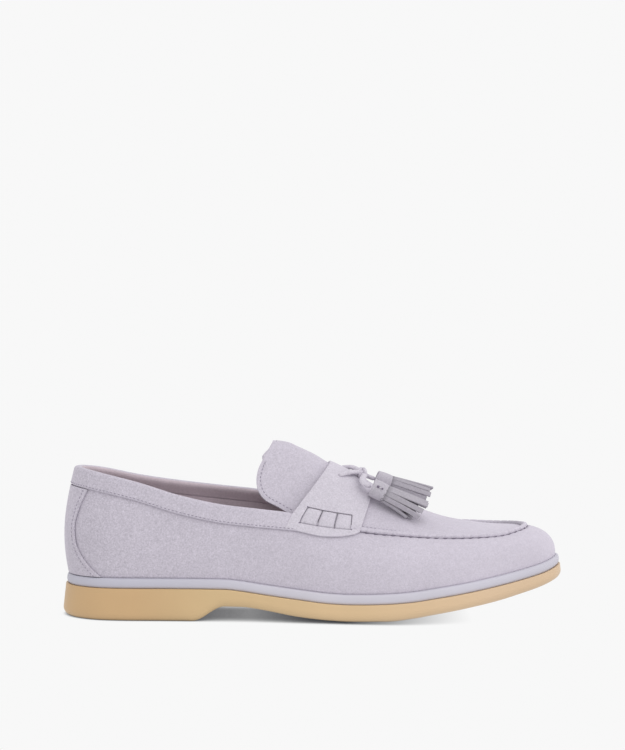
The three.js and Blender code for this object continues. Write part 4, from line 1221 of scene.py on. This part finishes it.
class LOAFER_OT_saddle(bpy.types.Operator):
    """Makes the saddle over the instep, with a slot on each side and the puffed pads in it"""

    bl_idname = "loafer.saddle"
    bl_label = "Saddle"

    def execute(self, context):
        columns, rows = 50, 124
        back_cell, front_cell = 8, 42
        low_cell, high_cell = 9, 22
        half = rows // 2

        def share_of(cell):
            if cell <= back_cell:
                return WINDOW_AT[0] * cell / back_cell
            if cell <= front_cell:
                return mix(*WINDOW_AT, (cell - back_cell) / (front_cell - back_cell))
            return mix(WINDOW_AT[1], 1, (cell - front_cell) / (columns - front_cell))

        def girth_at(angle, share, cell):
            """The girth at a row, counted from the hem, so that rows fall on the slot's edges."""
            above, below = window_reach(share)
            hem_girth = SADDLE_DROP * hem(share)
            below = min(below, hem_girth - 0.6)
            if cell <= low_cell:
                return mix(hem_girth, below, cell / low_cell)
            if cell <= high_cell:
                return mix(below, -above, (cell - low_cell) / (high_cell - low_cell))
            return mix(-above, crest_girth(angle), (cell - high_cell) / (half - high_cell))

        def tilt_at(share, cell):
            """The slot's tilt at a row, which fades out towards the saddle's edges and crest."""
            if cell <= low_cell:
                turn = cell / low_cell
            elif cell <= high_cell:
                turn = 1 - 2 * (cell - low_cell) / (high_cell - low_cell)
            else:
                turn = -1 + smooth(high_cell, half, cell)
            fade = smooth(0, WINDOW_AT[0], share) * smooth(1, WINDOW_AT[1], share)
            return window_tilt(share) * turn * fade

        def place(u, v):
            share = share_of(u * columns)
            side = -1 if v <= 0.5 else 1
            cell = min(v, 1 - v) * rows
            angle = saddle_angle(share, side)
            girth = girth_at(angle, share, cell)
            share += tilt_at(share, cell)
            if cell > half - 1.5:
                across = skin(angle, girth).y
                return over_saddle(share, across if abs(across) > 1e-3 else 1e-3 * side, GAP)
            return saddle_skin(share, side, girth, GAP)

        mesh = bent_grid(columns, rows, place)
        along = mesh.loops.layers.uv["along"]
        slots = []
        for face in mesh.faces:
            u = sum(loop[along].uv.x for loop in face.loops) / 4 * columns
            v = sum(loop[along].uv.y for loop in face.loops) / 4 * rows
            if back_cell < u < front_cell and low_cell < min(v, rows - v) < high_cell:
                slots.append(face)
        bmesh.ops.delete(mesh, geom=slots, context="FACES")
        saddle = add_piece("saddle", mesh, ["trim suede"], replaces=["saddle"])
        add_wall(saddle, OVERLAY, offset=1)
        add_soft_edge(saddle, 0.45, 4)

        pitch = (WINDOW_AT[1] - WINDOW_AT[0]) / PADS
        for side, name in ((-1, "outer"), (1, "inner")):
            for k in range(PADS):
                back = WINDOW_AT[0] + k * pitch
                self.pad(f"pad_{name}_{k + 1}", side, back, back + pitch)

        # Painted shade: a dark dot at the ends of the slots' cuts, where the slits are in shade
        threads = bmesh.new()
        for side in (-1, 1):
            for k in range(PADS + 1):
                share = WINDOW_AT[0] + k * pitch
                above, below = window_reach(share)
                for girth, turn in ((below - 0.2, 1), (0.2 - above, -1)):
                    if turn < 0 and k > 0:
                        continue
                    spot = share + window_tilt(share) * turn
                    run = saddle_skin(spot + 0.02, side, girth, 0) - saddle_skin(spot - 0.02, side, girth, 0)
                    run.normalize()
                    here = saddle_skin(spot, side, girth, GAP + 0.9 * OVERLAY)
                    up = (here - saddle_skin(spot, side, girth, 0)).normalized()
                    one_stitch(threads, here, run, up, *SLOT_END_SHADE)
        add_piece("slot_end_shade", threads, ["dark thread and painted shade"])
        return {"FINISHED"}

    @staticmethod
    def pad(name, side, back, front):
        mesh = bmesh.new()
        bmesh.ops.create_cube(mesh, size=2.0)
        bmesh.ops.subdivide_edges(mesh, edges=mesh.edges, cuts=13, use_grid_fill=True)
        painted_shade_and_tone = mesh.verts.layers.float_color.new("painted_shade_and_tone")
        for vert in mesh.verts:
            x, y, z = vert.co
            swell = (max(0.0, 1 - abs(x) ** PAD_SQUARE) * max(0.0, 1 - abs(y) ** PAD_SQUARE)) ** 0.6
            # Painted shade: the pad is darker towards its edge, where it dips into the groove round it
            tone = mix(PAD_EDGE_SHADE, 1.0, smooth(0, 0.5, swell))
            vert[painted_shade_and_tone] = (tone, tone, tone, 1.0)
            share, down = mix(back, front, 0.5 + PAD_FILL / 2 * x), 0.5 + PAD_FILL / 2 * y
            above, below = window_reach(share)
            girth = mix(-above, below, down)
            top = GAP + PAD_HEIGHT * (PAD_EDGE + PAD_SWELL * swell)
            share += window_tilt(share) * (2 * down - 1)
            vert.co = saddle_skin(share, side, girth, mix(0.5 * GAP, top, 0.5 + 0.5 * z)) * MM
        bmesh.ops.recalc_face_normals(mesh, faces=mesh.faces)
        pad = add_piece(name, mesh, ["trim suede"], replaces=[name])


class LOAFER_OT_lace(bpy.types.Operator):
    """Makes the two strands of lace and their knot"""

    bl_idname = "loafer.lace"
    bl_label = "Lace"

    def execute(self, context):
        top = GAP + OVERLAY
        rest = top + LACE / 2 - GAP
        knot = over_saddle(KNOT_ALONG, -LACE, top + KNOT_HALF[2] * LACE)
        mesh = bmesh.new()
        sizes_of_knot = Matrix.Diagonal((*(0.8 * LACE * half for half in KNOT_HALF), 1))
        bmesh.ops.create_icosphere(mesh, subdivisions=3, radius=MM,
                                   matrix=Matrix.Translation(knot * MM) @ sizes_of_knot)
        for name, (side, *_) in TASSELS.items():
            start, ahead, _ = tassel_frame(name)
            points = [over_saddle(along, (side * aside - 1) * LACE, rest + over * LACE)
                      for along, aside, over in STRAND]
            points[0] = over_saddle(STRAND[0][0] - 0.02, (side * STRAND[0][1] - 1) * LACE, top - 0.6)
            points += [knot + Vector((0, side * 0.9, 0)), start - ahead * 1.3 * LACE, start - ahead * GAP]
            path = smooth_path(points, 40)
            width, height = (LACE * part for part in STRAND_SECTION)
            self.join(mesh, bent_grid(40, 14, tube_place(path, width, height), wrap=True))
        ahead_half, aside_half, up_half = KNOT_RING_HALF
        for shift, size, tilt in KNOT_RINGS:
            ring = []
            for i in range(49):
                turn = TURN * i / 48
                wide, deep = aside_half * math.cos(turn), ahead_half * math.sin(tilt) * math.cos(turn)
                local = Vector((deep, wide, up_half * math.sin(turn)))
                ring.append(knot + Vector((shift, 0, 0)) + local * size)
            width, height = (LACE * part for part in RING_SECTION)
            place = tube_place(ring, width, height, up_at=lambda u: Vector((1, 0, 0.01)))
            self.join(mesh, bent_grid(48, 12, place, wrap=True))
        add_piece("lace", mesh, ["trim suede"], replaces=["lace"])
        return {"FINISHED"}

    @staticmethod
    def join(mesh, part):
        close_ends(part)
        data = bpy.data.meshes.new("part")
        part.to_mesh(data)
        part.free()
        mesh.from_mesh(data)
        bpy.data.meshes.remove(data)


class LOAFER_OT_tassels(bpy.types.Operator):
    """Makes the tassels: a rolled head with a stitch through two dark holes, and a fringe of cut strips"""

    bl_idname = "loafer.tassels"
    bl_label = "Tassels"

    def execute(self, context):
        for name in TASSELS:
            self.head(name)
            self.fringe(name)
        return {"FINISHED"}

    def head(self, name):
        start, ahead, up = tassel_frame(name)
        aside = up.cross(ahead)
        side = TASSELS[name][0]

        def place(u, v):
            turn = TURN * (HEAD_ROLL * u - 0.62) * -side
            radius = HEAD_RADIUS - 1.5 + 1.1 * u
            radius += 0.25 * math.sin(math.pi * v)
            along = GAP + (HEAD_LENGTH - GAP) * v
            return start + ahead * along + (aside * math.sin(turn) + up * math.cos(turn)) * radius

        mesh = bent_grid(72, 12, place, shade=lambda u, v: HEAD_TONE)
        if side > 0:
            bmesh.ops.reverse_faces(mesh, faces=mesh.faces)
        core = bmesh.new()
        turn = Matrix((ahead.cross(up) * -1, up, ahead)).transposed().to_4x4()
        middle = (start + ahead * (HEAD_LENGTH / 2)) * MM
        bmesh.ops.create_cone(core, cap_ends=True, segments=40, radius1=(HEAD_RADIUS - 1.4) * MM,
                              radius2=(HEAD_RADIUS - 1.4) * MM, depth=(HEAD_LENGTH - 1.4) * MM,
                              matrix=Matrix.Translation(middle) @ turn)
        head = add_piece(f"tassel_head_{name}", mesh, ["trim suede"],
                         replaces=[f"tassel_head_{name}"])
        add_wall(head, HEAD_WALL, offset=0)
        add_soft_edge(head, 0.4, 3)
        core_piece = add_piece(f"tassel_core_{name}", core, ["trim suede"])
        add_soft_edge(core_piece, 0.5, 3)

        turned = math.radians(HEAD_STITCH_TURN) * side
        out = aside * math.sin(turned) + up * math.cos(turned)
        holes, light = bmesh.new(), bmesh.new()
        # The holes are dark blobs of thread colour: painted shade inside them
        for share, size in HEAD_HOLES:
            centre = start + ahead * HEAD_LENGTH * share + out * (HEAD_RADIUS + 0.2)
            one_stitch(holes, centre, ahead, out, size, 0.95 * size)
        centre = start + ahead * HEAD_LENGTH * 0.51 + out * (HEAD_RADIUS + 0.35)
        one_stitch(light, centre, ahead, out, *HEAD_STITCH)
        add_piece(f"tassel_thread_{name}", light, ["trim suede"])
        add_piece(f"tassel_hole_shade_{name}", holes, ["dark thread and painted shade"])

    def fringe(self, name):
        start, ahead, up = tassel_frame(name)
        aside = up.cross(ahead)
        side, splay = TASSELS[name][0], TASSELS[name][-1]
        rng = random.Random(11 if side < 0 else 23)
        rows = [(*strip, HEAD_RADIUS - 1.2, STRIP_WIDTH) for strip in STRIPS]
        # The shorter inner strips, inside the bundle, are darker with painted shade
        rows += [(360 * k / INNER_STRIPS, 0.8, 0.3 * splay, 0.0, 0.45, HEAD_RADIUS - 3.2, INNER_STRIP_WIDTH)
                 for k in range(INNER_STRIPS)]
        mesh = bmesh.new()
        for turn, share, opened, curl, tone, radius, width in rows:
            turn = math.radians(turn + rng.uniform(-3, 3)) * -side
            out = aside * math.sin(turn) + up * math.cos(turn)
            length = FRINGE_LENGTH * share * rng.uniform(0.96, 1.0)
            spread = math.tan(math.radians(opened))
            drift = rng.uniform(-0.05, 0.05)
            sag = rng.uniform(0.2, 0.8) + 6 * curl
            path = []
            for i in range(13):
                t = i / 12
                outward = radius + length * (spread * t + curl * t * t)
                point = start + ahead * (HEAD_LENGTH - 1.5 + (length + 1.2) * t) + out * outward
                path.append(point + aside * (drift * length * t * t) - Vector((0, 0, sag * t * t)))
            self.strip(mesh, path, out, width, STRIP_THICK, rng.uniform(-0.35, 0.35), tone)
        add_piece(f"tassel_fringe_{name}", mesh, ["trim suede"],
                  replaces=[f"tassel_fringe_{name}"], smooth_faces=False)

    @staticmethod
    def strip(mesh, path, out, width, thick, twist, tone):
        corners = ((-1, -0.6), (-0.86, -1), (0.86, -1), (1, -0.6), (1, 0.6), (0.86, 1), (-0.86, 1), (-1, 0.6))

        def place(u, v):
            k = u * (len(path) - 1)
            i = min(int(k), len(path) - 2)
            here = path[i].lerp(path[i + 1], k - i)
            tangent = (path[i + 1] - path[i]).normalized()
            across = tangent.cross(Matrix.Rotation(twist * u, 3, tangent) @ out).normalized()
            normal = across.cross(tangent).normalized()
            a, b = corners[round(v * 8) % 8]
            return here + across * (a * width / 2) + normal * (b * thick / 2)

        # Painted shade: each strip is darker towards its root, inside the head
        def shade(u, v):
            return tone * mix(0.45, 1.0, smooth(0, 0.16, u))

        LOAFER_OT_lace.join(mesh, bent_grid(12, 8, place, wrap=True, shade=shade))


class LOAFER_OT_sole(bpy.types.Operator):
    """Makes the outsole, the midsole band and the insole"""

    bl_idname = "loafer.sole"
    bl_label = "Sole"

    @staticmethod
    def section_grid(levels, cap_steps, columns):
        """A closed body from its side's levels, top first, closed straight across at the top and bottom."""
        def ring(angle, level):
            outset, height, across = level
            bare = plan_point(angle)
            outset = outset(bare) if callable(outset) else outset
            point = sole_edge(angle, outset)
            point.y = mix(point.y, sole_edge(-angle, outset).y, across)
            point.z = height(point, bare)
            return point

        count = len(levels)
        rows = 2 * (count - 1) + 2 * cap_steps

        def place(u, v):
            angle = math.pi * u
            k = round(v * rows) % rows
            if k < cap_steps:
                return ring(-angle, levels[0]).lerp(ring(angle, levels[0]), k / cap_steps)
            k -= cap_steps
            if k < count - 1:
                return ring(angle, levels[k])
            k -= count - 1
            if k < cap_steps:
                return ring(angle, levels[-1]).lerp(ring(-angle, levels[-1]), k / cap_steps)
            k -= cap_steps
            return ring(-angle, levels[count - 1 - k])

        mesh = bent_grid(columns, rows, place, wrap=True)
        bmesh.ops.dissolve_degenerate(mesh, edges=mesh.edges, dist=1e-7)
        bmesh.ops.recalc_face_normals(mesh, faces=mesh.faces)
        return mesh

    def execute(self, context):
        def flare(bare):
            return FLARE * (outsole_top(bare.x) - outsole_edge(bare.x) - EDGE_ROUND)

        def top(point, bare):
            return outsole_top(point.x)

        levels = [(-0.6, top, 0), (-0.15, lambda p, b: outsole_top(p.x) - 0.12, 0),
                  (0.0, lambda p, b: outsole_top(b.x) - 0.6, 0)]
        for t in (0.25, 0.5, 0.75, 1.0):
            levels.append((lambda b, t=t: flare(b) * t, lambda p, b, t=t: mix(
                outsole_top(b.x) - 0.6, outsole_edge(b.x) + EDGE_ROUND, t), 0))
        for i in range(1, 9):
            turn = math.pi / 2 * i / 8
            levels.append((lambda b, c=1 - math.cos(turn): flare(b) - 0.85 * EDGE_ROUND * c,
                           lambda p, b, s=1 - math.sin(turn): outsole_edge(b.x) + EDGE_ROUND * s, 0))
        for across, share in ((0.025, 0.72), (0.05, 0.46), (0.08, 0.27), (0.12, 0.1), (0.16, 0.0)):
            levels.append((lambda b: flare(b) - 0.85 * EDGE_ROUND,
                           lambda p, b, s=share: mix(outsole_under(b.x), outsole_edge(b.x), s), across))
        mesh = self.section_grid(levels, 24, 300)
        add_piece("outsole", mesh, ["gum rubber"], replaces=["outsole"])

        levels = []
        side = ((-2.6, 1.0), (-1.9, 1.0), (-1.2, 0.975), (-0.7, 0.91), (-0.3, 0.8), (-0.1, 0.64), (0.0, 0.45),
                (-0.1, 0.28), (-0.35, 0.14), (-0.8, 0.04), (-1.2, 0.0))
        for outset, up in side:
            levels.append((outset - MIDSOLE_INSET,
                           lambda p, b, up=up: outsole_top(p.x) + mix(0.05, MIDSOLE, up), 0))
        mesh = self.section_grid(levels, 8, 300)
        add_piece("midsole", mesh, ["midsole rubber"], replaces=["midsole"])

        inset = UPPER_INSET + WALL + 2 * GAP
        levels = []
        for outset, up in ((-1.6, 1), (-0.8, 0.96), (-0.25, 0.85), (0, 0.68), (0, 0)):
            levels.append((outset - inset, lambda p, b, up=up: midsole_top(p.x) + GAP + INSOLE * up, 0))
        mesh = self.section_grid(levels, 16, 160)
        add_piece("insole", mesh, ["lining leather"], replaces=["insole"])
        return {"FINISHED"}


class LOAFER_OT_stage(bpy.types.Operator):
    """Sets up the pale floor, the soft studio light and the camera"""

    bl_idname = "loafer.stage"
    bl_label = "Stage"

    def execute(self, context):
        scene = context.scene
        scene.view_settings.view_transform = "Standard"
        scene.view_settings.look = "None"

        mesh = bmesh.new()
        bmesh.ops.create_grid(mesh, x_segments=2, y_segments=2, size=FLOOR_HALF)
        data = bpy.data.meshes.new("floor")
        mesh.to_mesh(data)
        mesh.free()
        floor = link_object("floor", data)
        data.materials.append(self.floor_material())

        world = bpy.data.worlds.new("studio")
        world.use_nodes = True
        tree = world.node_tree
        background = tree.nodes["Background"]
        background.inputs["Color"].default_value = (1, 1, 1, 1)
        background.inputs["Strength"].default_value = BACKDROP
        scene.world = world

        for name, energy, angle, direction in SUNS:
            lamp = bpy.data.lights.new(name, "SUN")
            lamp.energy = energy
            lamp.angle = math.radians(angle)
            holder = link_object(name, lamp)
            holder.rotation_euler = Vector(direction).to_track_quat("-Z", "Y").to_euler()

        view = bpy.data.cameras.new("camera")
        view.sensor_width = 36
        view.lens = LENS
        view.clip_end = 50
        holder = link_object("camera", view)
        aim = Vector(CAMERA_AIM)
        tilt = math.radians(CAMERA_TILT)
        holder.location = aim + Vector((0, -math.cos(tilt), math.sin(tilt))) * CAMERA_DISTANCE
        holder.rotation_euler = (aim - holder.location).to_track_quat("-Z", "Y").to_euler()
        scene.camera = holder
        return {"FINISHED"}

    @staticmethod
    def floor_material():
        """A floor that glows in the backdrop's tone, with a painted shadow close under the sole that fades
        towards the toe.
        """
        material = bpy.data.materials.new("pale floor with painted shadow")
        material.use_nodes = True
        tree = material.node_tree
        tree.nodes.remove(tree.nodes["Principled BSDF"])
        place = tree.nodes.new("ShaderNodeTexCoord").outputs["Object"]
        # Painted shadow: the floor darkens where the sole is close above it
        shade = add_node(tree, "AmbientOcclusion", {"Distance": 0.02})
        shade.samples = 16
        backdrop = (BACKDROP, BACKDROP, BACKDROP)
        shaded = shade_node(tree, shade.outputs["AO"], 0.0, 0.6, (0.03, 0.03, 0.035), backdrop)
        lighter = tree.nodes.new("ShaderNodeMix")
        lighter.data_type = "RGBA"
        shadow_toe_fade = along_shoe(tree, place, 0.0, 1.0, 20, 95)
        set_inputs(tree, lighter, {"Factor": shadow_toe_fade, "A": shaded, "B": (*backdrop, 1)})
        glow = add_node(tree, "Emission", {"Color": lighter.outputs["Result"]})
        set_inputs(tree, tree.nodes["Material Output"], {"Surface": glow.outputs["Emission"]})
        return material


class LOAFER_PT_panel(bpy.types.Panel):
    bl_label = "Loafer"
    bl_idname = "LOAFER_PT_panel"
    bl_space_type = "VIEW_3D"
    bl_region_type = "UI"
    bl_category = "Loafer"

    def draw(self, context):
        column = self.layout.column()
        for operator in OPERATORS:
            column.operator(operator.bl_idname)
        for group in (context.scene.loafer_looks, context.scene.loafer_sizes):
            for key in group.bl_rna.properties.keys():
                if key not in ("rna_type", "name"):
                    column.prop(group, key)


OPERATORS = (
    LOAFER_OT_stage,
    LOAFER_OT_sole,
    LOAFER_OT_upper,
    LOAFER_OT_apron_seam,
    LOAFER_OT_collar,
    LOAFER_OT_counter,
    LOAFER_OT_tongue,
    LOAFER_OT_saddle,
    LOAFER_OT_lace,
    LOAFER_OT_tassels,
)
CLASSES = (LoaferLooks, LoaferSizes, *OPERATORS, LOAFER_PT_panel)


def register():
    for item in CLASSES:
        bpy.utils.register_class(item)
    bpy.types.Scene.loafer_looks = bpy.props.PointerProperty(type=LoaferLooks)
    bpy.types.Scene.loafer_sizes = bpy.props.PointerProperty(type=LoaferSizes)


def unregister():
    del bpy.types.Scene.loafer_looks
    del bpy.types.Scene.loafer_sizes
    for item in reversed(CLASSES):
        bpy.utils.unregister_class(item)


def main():
    register()
    bpy.ops.loafer.stage()
    bpy.ops.loafer.sole()
    bpy.ops.loafer.upper()
    bpy.ops.loafer.apron_seam()
    bpy.ops.loafer.collar()
    bpy.ops.loafer.counter()
    bpy.ops.loafer.tongue()
    bpy.ops.loafer.saddle()
    bpy.ops.loafer.lace()
    bpy.ops.loafer.tassels()


if __name__ == "__main__":
    main()
